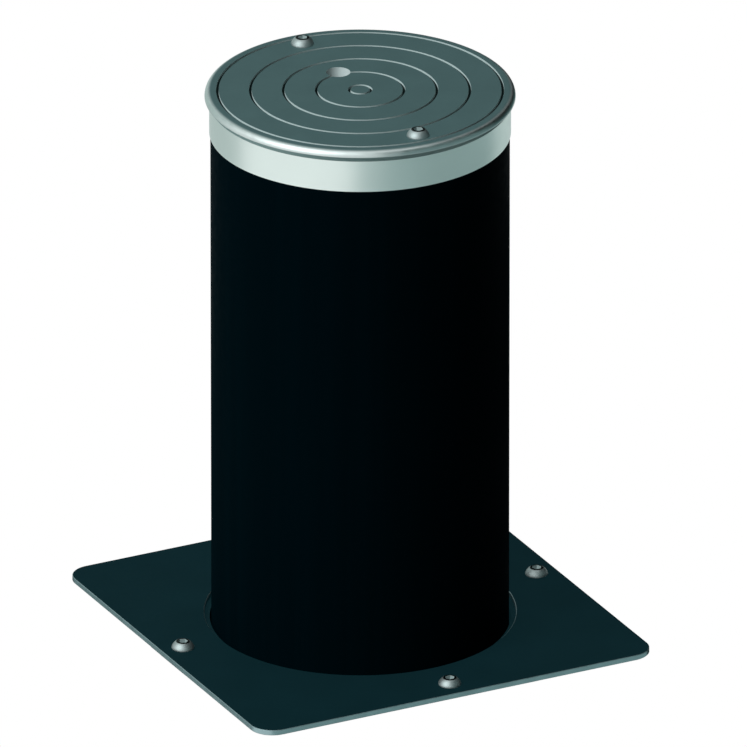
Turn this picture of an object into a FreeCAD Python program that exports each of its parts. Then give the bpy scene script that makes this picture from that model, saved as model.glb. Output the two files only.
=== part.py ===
"""Semi-automatic bollard: a gas-sprung steel post that sinks into a buried casing.

Millimetres, +Z up. The origin lies on the post's axis at finished ground level, which is the
underside of the square cover plate. The post is drawn raised, with its key lock open.
"""

import FreeCAD
import Part
import Sketcher
import math
import os

SIZES = {
    # Post
    "tube_diameter": 273,
    "tube_wall": 6,
    "head_rise": 521,
    "lip_height": 11.5,
    "lip_overhang": 5.25,
    "lip_edge_radius": 6,
    "spigot_depth": 10,
    "spigot_wall": 6,
    "groove_first_radius": 10,
    "groove_pitch": 30,
    "groove_count": 5,
    "groove_width": 2.5,
    "groove_depth": 2,
    "band_height": 30,
    "band_thickness": 1,
    "key_hole_diameter": 22,
    "key_offset": 44.3,
    "carrier_drop": 70,
    "carrier_thickness": 12,
    "carrier_window": 60,
    "carrier_window_count": 2,
    "carrier_window_offset": 75,
    "lug_width": 30,
    "lug_depth": 26,
    "lug_height": 24,
    "foot_thickness": 12,
    "foot_gap": 7.95,
    "foot_bore": 60,
    "foot_vent": 34,
    "foot_vent_count": 2,
    "foot_vent_offset": 88,
    # Cover plate and its screws
    "plate_margin": 59.5,
    "plate_thickness": 5,
    "plate_corner_radius": 22,
    "lip_gap": 1.25,
    "cover_screw_count": 4,
    "cover_screw_inset": 38.5,
    "cover_screw_length": 40,
    "head_screw_count": 2,
    "head_screw_inset": 13.5,
    "head_screw_length": 45,
    "screw_diameter": 12,
    "screw_head_diameter": 21,
    "screw_head_height": 6.6,
    "screw_head_rim": 0.8,
    "screw_head_flat": 9.8,
    "screw_dome_radius": 10,
    "screw_socket": 8,
    "screw_socket_depth": 4.5,
    "cap_screw_ratio": 1.6,
    "weld_nut_flats": 19,
    "weld_nut_height": 10,
    # Guide at the top of the casing
    "flange_edge": 12.5,
    "flange_thickness": 10,
    "band_gap": 0.5,
    "collar_depth": 32,
    "collar_step": 8,
    "sleeve_wall": 8,
    "sleeve_depth": 95,
    "wiper_height": 12,
    "wiper_lip_height": 4,
    "wiper_lip_reach": 3,
    "retainer_thickness": 5,
    "retainer_screw_count": 6,
    "retainer_screw_diameter": 5,
    "retainer_screw_length": 14,
    "stop_thickness": 8,
    "stop_inset": 1.5,
    # Casing
    "sleeve_gap": 3.95,
    "casing_wall": 4,
    "rim_thickness": 8,
    "base_margin": 10.55,
    "base_thickness": 8,
    "drain_diameter": 60,
    "drain_offset": 95,
    "rail_count": 2,
    "rail_width": 66,
    "rail_thickness": 14,
    "buffer_count": 4,
    "buffer_diameter": 40,
    "buffer_circle": 209,
    "buffer_chamfer": 4,
    "claw_width": 30,
    "claw_thickness": 6,
    "claw_height": 70,
    "claw_reach": 36,
    "claw_level": 380,
    "claw_count": 4,
    # Gas spring
    "spring_diameter": 40,
    "spring_wall": 3,
    "spring_end": 6,
    "gland_cap": 4,
    "gland_plug": 20,
    "rod_diameter": 20,
    "stud_diameter": 16,
    "rod_nut_flats": 24,
    "rod_nut_height": 13,
    "rod_spare": 4,
    "piston_spare": 1.5,
    "piston_height": 18,
    "piston_bore": 12,
    "eye_diameter": 24,
    "eye_thickness": 16,
    "eye_drop": 16,
    "eye_gap": 2,
    "pin_diameter": 12,
    "pin_head": 4,
    "pin_head_rim": 2.5,
    "bracket_wall": 8,
    "bracket_floor": 6,
    "bracket_width": 36,
    "bracket_corner_radius": 12,
    "bracket_crown": 2,
    # Key lock and latch
    "spindle_diameter": 14,
    "key_drive_size": 12,
    "key_drive_height": 14,
    "key_drive_drop": 1.5,
    "bush_wall": 3,
    "bush_flange_width": 4,
    "bush_flange_height": 2,
    "collar_diameter": 28,
    "collar_height": 10,
    "crank_thickness": 6,
    "crank_rim": 3,
    "crank_pin_diameter": 8,
    "crank_pin_gap": 0.6,
    "crank_pin_short": 2,
    "latch_stroke": 12,
    "bolt_width": 40,
    "bolt_height": 16,
    "bolt_tail": 10,
    "bolt_setback": 1.5,
    "bolt_chamfer": 3,
    "yoke_length": 16,
    "notch_gap": 1.5,
    "housing_wall": 5,
    "housing_flange": 20,
    "housing_flange_thickness": 6,
    "housing_setback": 4,
    "housing_screw_diameter": 8,
    "housing_screw_length": 16,
    "housing_screw_inset": 22,
    # Clearances
    "running_gap": 0.3,
    "seat_gap": 0.1,
    "rest_gap": 0.5,
    "slide_gap": 0.5,
    "screw_clearance": 1.5,
    "thread_clearance": 0.4,
}

# Sizes and heights that follow from the driving ones, each written once
FITS = {
    "tube_radius": "Sizes.tube_diameter / 2",
    "tube_bore_radius": "tube_radius - Sizes.tube_wall",
    "band_radius": "tube_radius + Sizes.band_thickness",
    "lip_radius": "tube_radius + Sizes.lip_overhang",
    "plate_bore_radius": "lip_radius + Sizes.lip_gap",
    "plate_width": "2 * (plate_bore_radius + Sizes.plate_margin)",
    "cover_screw_radius": "plate_bore_radius + Sizes.cover_screw_inset",
    "head_screw_radius": "tube_bore_radius - Sizes.head_screw_inset",
    "screw_hole": "Sizes.screw_diameter + Sizes.screw_clearance",
    "flange_radius": "cover_screw_radius + Sizes.flange_edge",
    "flange_bore_radius": "band_radius + Sizes.band_gap",
    "guide_radius": "tube_radius + Sizes.running_gap",
    "sleeve_bore_radius": "flange_bore_radius + Sizes.collar_step",
    "sleeve_radius": "sleeve_bore_radius + Sizes.sleeve_wall",
    "retainer_screw_radius": "sleeve_radius - Sizes.sleeve_wall / 2 - Sizes.rest_gap",
    "stop_radius": "sleeve_bore_radius - Sizes.stop_inset",
    "casing_bore_radius": "sleeve_radius + Sizes.sleeve_gap",
    "casing_radius": "casing_bore_radius + Sizes.casing_wall",
    "foot_radius": "casing_bore_radius - Sizes.foot_gap",
    "rail_back": "sqrt(casing_bore_radius ^ 2 - Sizes.rail_width ^ 2 / 4) - Sizes.seat_gap",
    "rail_face": "rail_back - Sizes.rail_thickness",
    "head_top": "Sizes.plate_thickness + Sizes.head_rise",
    "head_seat": "head_top - Sizes.lip_height",
    "travel": "head_seat - Sizes.rest_gap",
    "carrier_bottom": "head_seat - Sizes.carrier_drop",
    "carrier_top": "carrier_bottom + Sizes.carrier_thickness",
    "rim_bottom": "-Sizes.flange_thickness - Sizes.rim_thickness",
    "retainer_bottom": "-Sizes.sleeve_depth - Sizes.retainer_thickness",
    "stop_bottom": "retainer_bottom - Sizes.stop_thickness",
    "foot_top": "stop_bottom - Sizes.rest_gap",
    "foot_bottom": "foot_top - Sizes.foot_thickness",
    "buffer_top": "foot_bottom - travel - Sizes.rest_gap",
    "crank_bottom": "foot_bottom - Sizes.slide_gap - Sizes.crank_thickness",
    "bolt_top": "crank_bottom - Sizes.slide_gap",
    "bolt_bottom": "bolt_top - Sizes.bolt_height",
    "bolt_middle": "(bolt_top + bolt_bottom) / 2",
    "bolt_tip": "rail_face - Sizes.bolt_setback",
    "yoke_offset": "Sizes.key_offset - Sizes.latch_stroke / 2",
    "bolt_end": "yoke_offset - Sizes.bolt_tail",
    "housing_bottom": "bolt_bottom - Sizes.slide_gap - Sizes.housing_wall",
    "housing_end": "bolt_tip - Sizes.housing_setback",
    "housing_half": "Sizes.bolt_width / 2 + Sizes.slide_gap",
    "housing_side": "housing_half + Sizes.housing_wall",
    "housing_screw_offset": "housing_side + Sizes.housing_flange / 2",
    "spring_bore_radius": "Sizes.spring_diameter / 2 - Sizes.spring_wall",
    "gland_top": "carrier_bottom - Sizes.rod_nut_height - travel - Sizes.rod_spare",
    "spring_top": "gland_top - Sizes.gland_cap",
    "piston_top": "spring_top - Sizes.gland_plug - Sizes.rod_spare",
    "piston_bottom": "piston_top - Sizes.piston_height",
    "spring_bottom": "piston_bottom - travel - Sizes.piston_spare - Sizes.spring_end",
    "pin_level": "spring_bottom - Sizes.eye_drop",
    "pin_height": "Sizes.bracket_floor + Sizes.eye_gap + Sizes.eye_diameter / 2",
    "fork_height": "pin_height + Sizes.eye_diameter / 2 + Sizes.bracket_crown",
    "base_top": "pin_level - pin_height",
    "casing_height": "-Sizes.flange_thickness - base_top",
    "key_drive_top": "head_seat - Sizes.key_drive_drop",
    "spindle_top": "key_drive_top - Sizes.key_drive_height",
    "bush_radius": "Sizes.spindle_diameter / 2 + Sizes.running_gap + Sizes.bush_wall",
    "screw_thread_hole": "Sizes.screw_diameter + Sizes.thread_clearance",
    "retainer_screw_hole": "Sizes.retainer_screw_diameter + Sizes.thread_clearance",
    "housing_screw_hole": "Sizes.housing_screw_diameter + Sizes.thread_clearance",
    "wiper_bottom": "-Sizes.collar_depth - Sizes.seat_gap - Sizes.wiper_height",
    "bush_height": "Sizes.sleeve_depth + wiper_bottom - Sizes.seat_gap",
    "pin_hole": "Sizes.pin_diameter + 2 * Sizes.seat_gap",
    "fork_half": "Sizes.eye_thickness / 2 + Sizes.rest_gap",
    "fork_side": "fork_half + Sizes.bracket_wall",
    "lug_face": "head_screw_radius - Sizes.lug_depth / 2",
    "lug_back": "sqrt(tube_bore_radius ^ 2 - Sizes.lug_width ^ 2 / 4) - Sizes.seat_gap",
    "crank_radius": "Sizes.latch_stroke / sqrt(2)",
    "crank_rim_radius": "crank_radius + Sizes.crank_pin_diameter / 2 + Sizes.crank_rim",
}

# Directions in the plan, in degrees
DIAGONAL = 45
QUARTER_TURN = 90
HALF_TURN = 180

# The latch housing's screws, two along each of its flanges
HOUSING_SCREW_PLACES = [
    (f"{side}Fits.housing_screw_offset", place)
    for side in ("", "-")
    for place in ("Fits.bolt_end + Sizes.housing_screw_inset", "Fits.housing_end - Sizes.housing_screw_inset")
]

doc = FreeCAD.newDocument("SemiAutomaticBollard")
subparts = []


def fill_sheet(name, cells):
    """Make a sheet with one named cell for each entry."""
    sheet = doc.addObject("Spreadsheet::Sheet", name)
    for row, (alias, content) in enumerate(cells.items(), start=1):
        sheet.set(f"A{row}", alias)
        sheet.set(f"B{row}", content)
        sheet.setAlias(f"B{row}", alias)
    doc.recompute()
    return sheet


sizes = fill_sheet("Sizes", {alias: str(size) for alias, size in SIZES.items()})
fits = fill_sheet("Fits", {alias: f"={rule}" for alias, rule in FITS.items()})


def number(expression):
    """Work out an expression in the sheets' names."""
    return float(fits.evalExpression(expression))


def new_body(label, z="0", y="0", turn=0):
    """Start a sub-part whose own origin lies at height z and offset y, turned about Z by degrees."""
    body = doc.addObject("PartDesign::Body", label)
    body.Label = label
    body.Placement.Rotation = FreeCAD.Rotation(FreeCAD.Vector(0, 0, 1), turn)
    body.setExpression("Placement.Base.y", y)
    body.setExpression("Placement.Base.z", z)
    subparts.append(body)
    return body


def origin_feature(body, role):
    """Find one of a body's own planes or axes."""
    return next(feature for feature in body.Origin.OriginFeatures if feature.Role == role)


def new_sketch(body, plane, x="0", z="0"):
    """Start a sketch on a plane of the body, shifted along the sketch's X and along its normal."""
    sketch = body.newObject("Sketcher::SketchObject", f"{body.Label}_sketch")
    sketch.AttachmentSupport = (origin_feature(body, plane), [""])
    sketch.MapMode = "FlatFace"
    sketch.setExpression("AttachmentOffset.Base.x", x)
    sketch.setExpression("AttachmentOffset.Base.z", z)
    return sketch


def constrain(sketch, expression, kind, *where):
    """Add a dimension that follows an expression."""
    index = sketch.addConstraint(Sketcher.Constraint(kind, *where, number(expression)))
    sketch.setExpression(f"Constraints[{index}]", expression)


def arc_between(start, end, radius):
    """A left-turning arc, shorter than a half circle, from one point to the next."""
    chord = end - start
    middle = (start + end) * 0.5
    sagitta = radius - math.sqrt(radius ** 2 - chord.Length ** 2 / 4)
    outward = FreeCAD.Vector(chord.y, -chord.x, 0).normalize()
    return Part.Arc(start, middle + outward * sagitta, end)


def draw_outline(sketch, corners):
    """Draw a closed outline anticlockwise; a third entry in a corner gives the arc that leaves it."""
    first = sketch.GeometryCount
    count = len(corners)
    points = [FreeCAD.Vector(number(corner[0]), number(corner[1]), 0) for corner in corners]
    for index, corner in enumerate(corners):
        start = points[index]
        end = points[(index + 1) % count]
        if len(corner) == 3:
            sketch.addGeometry(arc_between(start, end, number(corner[2])))
            constrain(sketch, corner[2], "Radius", first + index)
        else:
            sketch.addGeometry(Part.LineSegment(start, end))
    for index, corner in enumerate(corners):
        following = first + (index + 1) % count
        sketch.addConstraint(Sketcher.Constraint("Coincident", first + index, 2, following, 1))
        constrain(sketch, corner[0], "DistanceX", -1, 1, first + index, 1)
        constrain(sketch, corner[1], "DistanceY", -1, 1, first + index, 1)


def draw_circle(sketch, diameter, x="0", y="0"):
    """Draw a circle about a point."""
    centre = FreeCAD.Vector(number(x), number(y), 0)
    circle = Part.Circle(centre, FreeCAD.Vector(0, 0, 1), number(diameter) / 2)
    index = sketch.addGeometry(circle)
    constrain(sketch, diameter, "Diameter", index)
    constrain(sketch, x, "DistanceX", -1, 1, index, 3)
    constrain(sketch, y, "DistanceY", -1, 1, index, 3)


def rectangle(left, right, bottom, top):
    """The corners of an upright rectangle."""
    return [(left, bottom), (right, bottom), (right, top), (left, top)]


def hexagon(flats, x="0"):
    """The corners of a hexagon of a given width across its flats."""
    point = f"({flats}) / sqrt(3)"
    side = f"({flats}) / 2"
    return [
        (f"{x} + {point}", "0"),
        (f"{x} + {point} / 2", side),
        (f"{x} - {point} / 2", side),
        (f"{x} - {point}", "0"),
        (f"{x} - {point} / 2", f"-{side}"),
        (f"{x} + {point} / 2", f"-{side}"),
    ]


def revolve(body, sketch, axis="V_Axis"):
    """Turn a profile about an axis of its sketch."""
    feature = body.newObject("PartDesign::Revolution", f"{body.Label}_turned")
    feature.Profile = sketch
    feature.ReferenceAxis = (sketch, [axis])
    feature.Angle = 360
    doc.recompute()
    return feature


def pad(body, sketch, length, side="One side", backwards=False):
    """Extrude a profile along its sketch's normal."""
    feature = body.newObject("PartDesign::Pad", f"{body.Label}_pad")
    feature.Profile = sketch
    feature.SideType = side
    feature.Reversed = backwards
    feature.setExpression("Length", length)
    doc.recompute()
    return feature


def cut(body, sketch, depth=None, backwards=False):
    """Sink a profile against its sketch's normal to a depth, or right through both ways."""
    feature = body.newObject("PartDesign::Pocket", f"{body.Label}_cut")
    feature.Profile = sketch
    feature.Reversed = backwards
    if depth is None:
        feature.Type = "ThroughAll"
        feature.SideType = "Symmetric"
    else:
        feature.setExpression("Length", depth)
    doc.recompute()
    if feature.Shape.Volume >= feature.BaseFeature.Shape.Volume:
        raise RuntimeError(f"a cut in {body.Label} removed nothing")
    return feature


def bore(body, diameter, x="0", y="0"):
    """Drill a hole right through, parallel to the body's Z axis."""
    sketch = new_sketch(body, "XY_Plane")
    draw_circle(sketch, diameter, x, y)
    return cut(body, sketch)


def repeat_round(body, features, count):
    """Repeat features evenly about the body's Z axis."""
    pattern = body.newObject("PartDesign::PolarPattern", f"{body.Label}_round")
    pattern.Originals = features
    pattern.Axis = (origin_feature(body, "Z_Axis"), [""])
    pattern.Angle = 360
    pattern.setExpression("Occurrences", count)
    body.Tip = pattern
    doc.recompute()


def dress(body, kind, feature, size, chosen):
    """Fillet or chamfer the edges of a feature that a test picks."""
    edges = enumerate(feature.Shape.Edges, start=1)
    names = [f"Edge{index}" for index, edge in edges if chosen(edge)]
    dressed = body.newObject(f"PartDesign::{kind}", f"{body.Label}_{kind}")
    dressed.Base = (feature, names)
    dressed.setExpression("Radius" if kind == "Fillet" else "Size", size)
    doc.recompute()
    return dressed


def runs_along(edge, axis):
    """Whether an edge is straight and parallel to a named axis."""
    if not isinstance(edge.Curve, Part.Line):
        return False
    return math.isclose(abs(getattr(edge.Curve.Direction, axis)), 1, abs_tol=1e-9)


def disc(label, z, radius, thickness):
    """A round plate, to be drilled."""
    body = new_body(label, z)
    sketch = new_sketch(body, "XY_Plane")
    draw_circle(sketch, f"2 * ({radius})")
    pad(body, sketch, thickness)
    return body


def ring(label, bottom, height, inner, outer):
    """A plain ring about the post's axis."""
    body = new_body(label, bottom)
    sketch = new_sketch(body, "XZ_Plane")
    draw_outline(sketch, rectangle(inner, outer, "0", height))
    revolve(body, sketch)
    return body


def button_screws(label, z, radius, count, length, turn):
    """Dome-headed socket screws in a circle, their heads seated at height z."""
    body = new_body(label, z, turn=turn)
    profile = new_sketch(body, "XZ_Plane", x=radius)
    shank = "Sizes.screw_diameter / 2"
    brim = "Sizes.screw_head_diameter / 2"
    draw_outline(profile, [
        ("0", f"-{length}"),
        (shank, f"-{length}"),
        (shank, "0"),
        (brim, "0"),
        (brim, "Sizes.screw_head_rim", "Sizes.screw_dome_radius"),
        ("Sizes.screw_head_flat / 2", "Sizes.screw_head_height"),
        ("0", "Sizes.screw_head_height"),
    ])
    turned = revolve(body, profile)
    socket = new_sketch(body, "XY_Plane", x=radius, z="Sizes.screw_head_height")
    draw_outline(socket, hexagon("Sizes.screw_socket"))
    sunk = cut(body, socket, "Sizes.screw_socket_depth")
    repeat_round(body, [turned, sunk], count)


def cap_screws(label, z, places, diameter, length):
    """Cylinder-headed screws put in from below, their heads seated at height z."""
    body = new_body(label, z)
    shanks = new_sketch(body, "XY_Plane")
    heads = new_sketch(body, "XY_Plane")
    for x, y in places:
        draw_circle(shanks, diameter, x, y)
        draw_circle(heads, f"{diameter} * Sizes.cap_screw_ratio", x, y)
    shank_pad = pad(body, shanks, length)
    head_pad = pad(body, heads, diameter, backwards=True)
    return body, [shank_pad, head_pad]


# Casing, fixed in the ground


def cover_plate():
    """Square plate round the post, with rounded corners and a screw at the middle of each edge."""
    body = new_body("cover_plate")
    outline = new_sketch(body, "XY_Plane")
    half = "Fits.plate_width / 2"
    draw_outline(outline, rectangle(f"-{half}", half, f"-{half}", half))
    plate = pad(body, outline, "Sizes.plate_thickness")
    dress(body, "Fillet", plate, "Sizes.plate_corner_radius", lambda edge: runs_along(edge, "z"))
    bore(body, "2 * Fits.plate_bore_radius")
    hole = bore(body, "Fits.screw_hole", "Fits.cover_screw_radius")
    repeat_round(body, [hole], "Sizes.cover_screw_count")


def guide_flange():
    """Turned flange under the plate, with a sleeve that holds the wiper and the guide bush."""
    body = new_body("guide_flange")
    profile = new_sketch(body, "XZ_Plane")
    draw_outline(profile, [
        ("Fits.sleeve_bore_radius", "-Sizes.sleeve_depth"),
        ("Fits.sleeve_radius", "-Sizes.sleeve_depth"),
        ("Fits.sleeve_radius", "-Sizes.flange_thickness"),
        ("Fits.flange_radius", "-Sizes.flange_thickness"),
        ("Fits.flange_radius", "0"),
        ("Fits.flange_bore_radius", "0"),
        ("Fits.flange_bore_radius", "-Sizes.collar_depth"),
        ("Fits.sleeve_bore_radius", "-Sizes.collar_depth"),
    ])
    revolve(body, profile)
    hole = bore(body, "Fits.screw_hole", "Fits.cover_screw_radius")
    repeat_round(body, [hole], "Sizes.cover_screw_count")
    tapped = new_sketch(body, "XY_Plane", z="-Sizes.sleeve_depth")
    draw_circle(tapped, "Fits.retainer_screw_hole", "Fits.retainer_screw_radius")
    sunk = cut(body, tapped, "Sizes.retainer_screw_length", backwards=True)
    repeat_round(body, [sunk], "Sizes.retainer_screw_count")


def wiper_seal():
    """Rubber ring whose upper lip leans in to the tube."""
    body = new_body("wiper_seal", "Fits.wiper_bottom")
    profile = new_sketch(body, "XZ_Plane")
    back = "Fits.sleeve_bore_radius - Sizes.seat_gap"
    lip_foot = "Sizes.wiper_height - Sizes.wiper_lip_height"
    draw_outline(profile, [
        ("Fits.guide_radius + Sizes.wiper_lip_reach", "0"),
        (back, "0"),
        (back, "Sizes.wiper_height"),
        ("Fits.guide_radius", "Sizes.wiper_height"),
        ("Fits.guide_radius + Sizes.wiper_lip_reach", lip_foot),
    ])
    revolve(body, profile)


def guide_bush():
    """Plastic bush that the tube slides in."""
    outer = "Fits.sleeve_bore_radius - Sizes.seat_gap"
    ring("guide_bush", "-Sizes.sleeve_depth", "Fits.bush_height", "Fits.guide_radius", outer)


def retaining_ring():
    """Steel ring screwed under the sleeve to keep the bush in."""
    inner = "Fits.flange_bore_radius"
    body = ring("retaining_ring", "Fits.retainer_bottom", "Sizes.retainer_thickness", inner,
                "Fits.sleeve_radius")
    hole = bore(body, "Fits.retainer_screw_hole", "Fits.retainer_screw_radius")
    repeat_round(body, [hole], "Sizes.retainer_screw_count")


def retaining_screws():
    """Screws of the retaining ring."""
    places = [("Fits.retainer_screw_radius", "0")]
    diameter = "Sizes.retainer_screw_diameter"
    body, features = cap_screws("retaining_screws", "Fits.retainer_bottom", places, diameter,
                                "Sizes.retainer_screw_length")
    repeat_round(body, features, "Sizes.retainer_screw_count")


def stop_ring():
    """Rubber ring that stops the raised post."""
    inner = "Fits.flange_bore_radius"
    ring("stop_ring", "Fits.stop_bottom", "Sizes.stop_thickness", inner, "Fits.stop_radius")


def casing_rim():
    """Flat ring welded round the mouth of the casing."""
    inner = "Fits.casing_radius + Sizes.seat_gap"
    body = ring("casing_rim", "Fits.rim_bottom", "Sizes.rim_thickness", inner, "Fits.flange_radius")
    hole = bore(body, "Fits.screw_hole", "Fits.cover_screw_radius")
    repeat_round(body, [hole], "Sizes.cover_screw_count")


def weld_nuts():
    """Nuts under the rim that take the cover screws."""
    body = new_body("weld_nuts", "Fits.rim_bottom - Sizes.weld_nut_height")
    outline = new_sketch(body, "XY_Plane")
    draw_outline(outline, hexagon("Sizes.weld_nut_flats", "Fits.cover_screw_radius"))
    block = pad(body, outline, "Sizes.weld_nut_height")
    hole = bore(body, "Fits.screw_thread_hole", "Fits.cover_screw_radius")
    repeat_round(body, [block, hole], "Sizes.cover_screw_count")


def casing_shell():
    """Buried pipe that the post sinks into."""
    inner = "Fits.casing_bore_radius"
    ring("casing_shell", "Fits.base_top", "Fits.casing_height", inner, "Fits.casing_radius")


def casing_base():
    """Square plate that closes the casing, with a drain hole beside the gas spring."""
    body = new_body("casing_base", "Fits.base_top - Sizes.base_thickness")
    outline = new_sketch(body, "XY_Plane")
    half = "(Fits.casing_radius + Sizes.base_margin)"
    draw_outline(outline, rectangle(f"-{half}", half, f"-{half}", half))
    pad(body, outline, "Sizes.base_thickness")
    bore(body, "Sizes.drain_diameter", "Sizes.drain_offset")


def anchor_claws():
    """Angle pieces welded to the outside of the casing, to bind in the concrete."""
    body = new_body("anchor_claws", "-Sizes.claw_level", turn=DIAGONAL)
    profile = new_sketch(body, "XZ_Plane")
    back = "Fits.casing_radius + Sizes.seat_gap"
    draw_outline(profile, [
        (back, "0"),
        (f"{back} + Sizes.claw_reach", "0"),
        (f"{back} + Sizes.claw_reach", "Sizes.claw_thickness"),
        (f"{back} + Sizes.claw_thickness", "Sizes.claw_thickness"),
        (f"{back} + Sizes.claw_thickness", "Sizes.claw_height"),
        (back, "Sizes.claw_height"),
    ])
    angle = pad(body, profile, "Sizes.claw_width", side="Symmetric")
    repeat_round(body, [angle], "Sizes.claw_count")


def rail(label, turn, notch_levels):
    """Flat bar inside the casing that keeps the post from turning, with notches for the latch."""
    body = new_body(label, "Fits.base_top", turn=turn)
    outline = new_sketch(body, "XY_Plane")
    half = "Sizes.rail_width / 2"
    draw_outline(outline, rectangle(f"-{half}", half, "Fits.rail_face", "Fits.rail_back"))
    pad(body, outline, "Fits.stop_bottom - Sizes.rest_gap - Fits.base_top")
    for level in notch_levels:
        notch = new_sketch(body, "XZ_Plane")
        side = "(Sizes.bolt_width / 2 + Sizes.notch_gap)"
        rise = "(Sizes.bolt_height / 2 + Sizes.notch_gap)"
        middle = f"{level} - Fits.base_top"
        draw_outline(notch, rectangle(f"-{side}", side, f"{middle} - {rise}", f"{middle} + {rise}"))
        cut(body, notch)


def base_buffers():
    """Rubber blocks that the lowered post lands on."""
    body = new_body("base_buffers", "Fits.base_top", turn=DIAGONAL)
    profile = new_sketch(body, "XZ_Plane", x="Sizes.buffer_circle / 2")
    radius = "Sizes.buffer_diameter / 2"
    height = "Fits.buffer_top - Fits.base_top"
    draw_outline(profile, [
        ("0", "0"),
        (radius, "0"),
        (radius, f"{height} - Sizes.buffer_chamfer"),
        (f"{radius} - Sizes.buffer_chamfer", height),
        ("0", height),
    ])
    block = revolve(body, profile)
    repeat_round(body, [block], "Sizes.buffer_count")


def gas_spring_bracket():
    """Fork on the base plate that holds the gas spring's lower eye."""
    body = new_body("gas_spring_bracket", "Fits.base_top")
    profile = new_sketch(body, "XZ_Plane")
    draw_outline(profile, [
        ("-Fits.fork_side", "0"),
        ("Fits.fork_side", "0"),
        ("Fits.fork_side", "Fits.fork_height"),
        ("Fits.fork_half", "Fits.fork_height"),
        ("Fits.fork_half", "Sizes.bracket_floor"),
        ("-Fits.fork_half", "Sizes.bracket_floor"),
        ("-Fits.fork_half", "Fits.fork_height"),
        ("-Fits.fork_side", "Fits.fork_height"),
    ])
    fork = pad(body, profile, "Sizes.bracket_width", side="Symmetric")
    top = number("Fits.fork_height")

    def at_top(edge):
        return runs_along(edge, "x") and math.isclose(edge.CenterOfMass.z, top)

    dress(body, "Fillet", fork, "Sizes.bracket_corner_radius", at_top)
    hole = new_sketch(body, "YZ_Plane")
    draw_circle(hole, "Fits.pin_hole", "0", "Fits.pin_height")
    cut(body, hole)


def gas_spring_pin():
    """Headed pin through the bracket and the eye."""
    body = new_body("gas_spring_pin", "Fits.pin_level")
    profile = new_sketch(body, "XZ_Plane")
    radius = "Sizes.pin_diameter / 2"
    head = f"{radius} + Sizes.pin_head_rim"
    draw_outline(profile, [
        ("-Fits.fork_side - Sizes.pin_head", "0"),
        ("Fits.fork_side + Sizes.pin_head", "0"),
        ("Fits.fork_side + Sizes.pin_head", head),
        ("Fits.fork_side", head),
        ("Fits.fork_side", radius),
        ("-Fits.fork_side - Sizes.pin_head", radius),
    ])
    revolve(body, profile, "H_Axis")


def gas_spring_cylinder():
    """Pressure tube with an eye under its closed end."""
    body = new_body("gas_spring_cylinder", "Fits.spring_bottom")
    profile = new_sketch(body, "XZ_Plane")
    radius = "Sizes.spring_diameter / 2"
    draw_outline(profile, [
        ("0", "0"),
        (radius, "0"),
        (radius, "Fits.spring_top - Fits.spring_bottom"),
        ("Fits.spring_bore_radius", "Fits.spring_top - Fits.spring_bottom"),
        ("Fits.spring_bore_radius", "Sizes.spring_end"),
        ("0", "Sizes.spring_end"),
    ])
    revolve(body, profile)
    neck = new_sketch(body, "YZ_Plane")
    half = "Sizes.eye_diameter / 2"
    draw_outline(neck, rectangle(f"-{half}", half, "-Sizes.eye_drop", "0"))
    pad(body, neck, "Sizes.eye_thickness", side="Symmetric")
    eye = new_sketch(body, "YZ_Plane")
    draw_circle(eye, "Sizes.eye_diameter", "0", "-Sizes.eye_drop")
    pad(body, eye, "Sizes.eye_thickness", side="Symmetric")
    hole = new_sketch(body, "YZ_Plane")
    draw_circle(hole, "Fits.pin_hole", "0", "-Sizes.eye_drop")
    cut(body, hole)


def gas_spring_gland():
    """Plug in the cylinder's mouth that guides the rod."""
    body = new_body("gas_spring_gland", "Fits.spring_top")
    profile = new_sketch(body, "XZ_Plane")
    rod_hole = "Sizes.rod_diameter / 2 + Sizes.running_gap"
    plug = "Fits.spring_bore_radius - Sizes.seat_gap"
    cap = "Sizes.spring_diameter / 2"
    draw_outline(profile, [
        (rod_hole, "-Sizes.gland_plug"),
        (plug, "-Sizes.gland_plug"),
        (plug, "0"),
        (cap, "0"),
        (cap, "Sizes.gland_cap"),
        (rod_hole, "Sizes.gland_cap"),
    ])
    revolve(body, profile)


# Post, which rises and sinks


def bollard_tube():
    """Painted steel tube."""
    ring("bollard_tube", "Fits.foot_top", "Fits.head_seat - Fits.foot_top", "Fits.tube_bore_radius",
         "Fits.tube_radius")


def head_band():
    """Bright band round the tube under the head."""
    inner = "Fits.tube_radius + Sizes.seat_gap"
    ring("head_band", "Fits.head_seat - Sizes.band_height", "Sizes.band_height", inner, "Fits.band_radius")


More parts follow.
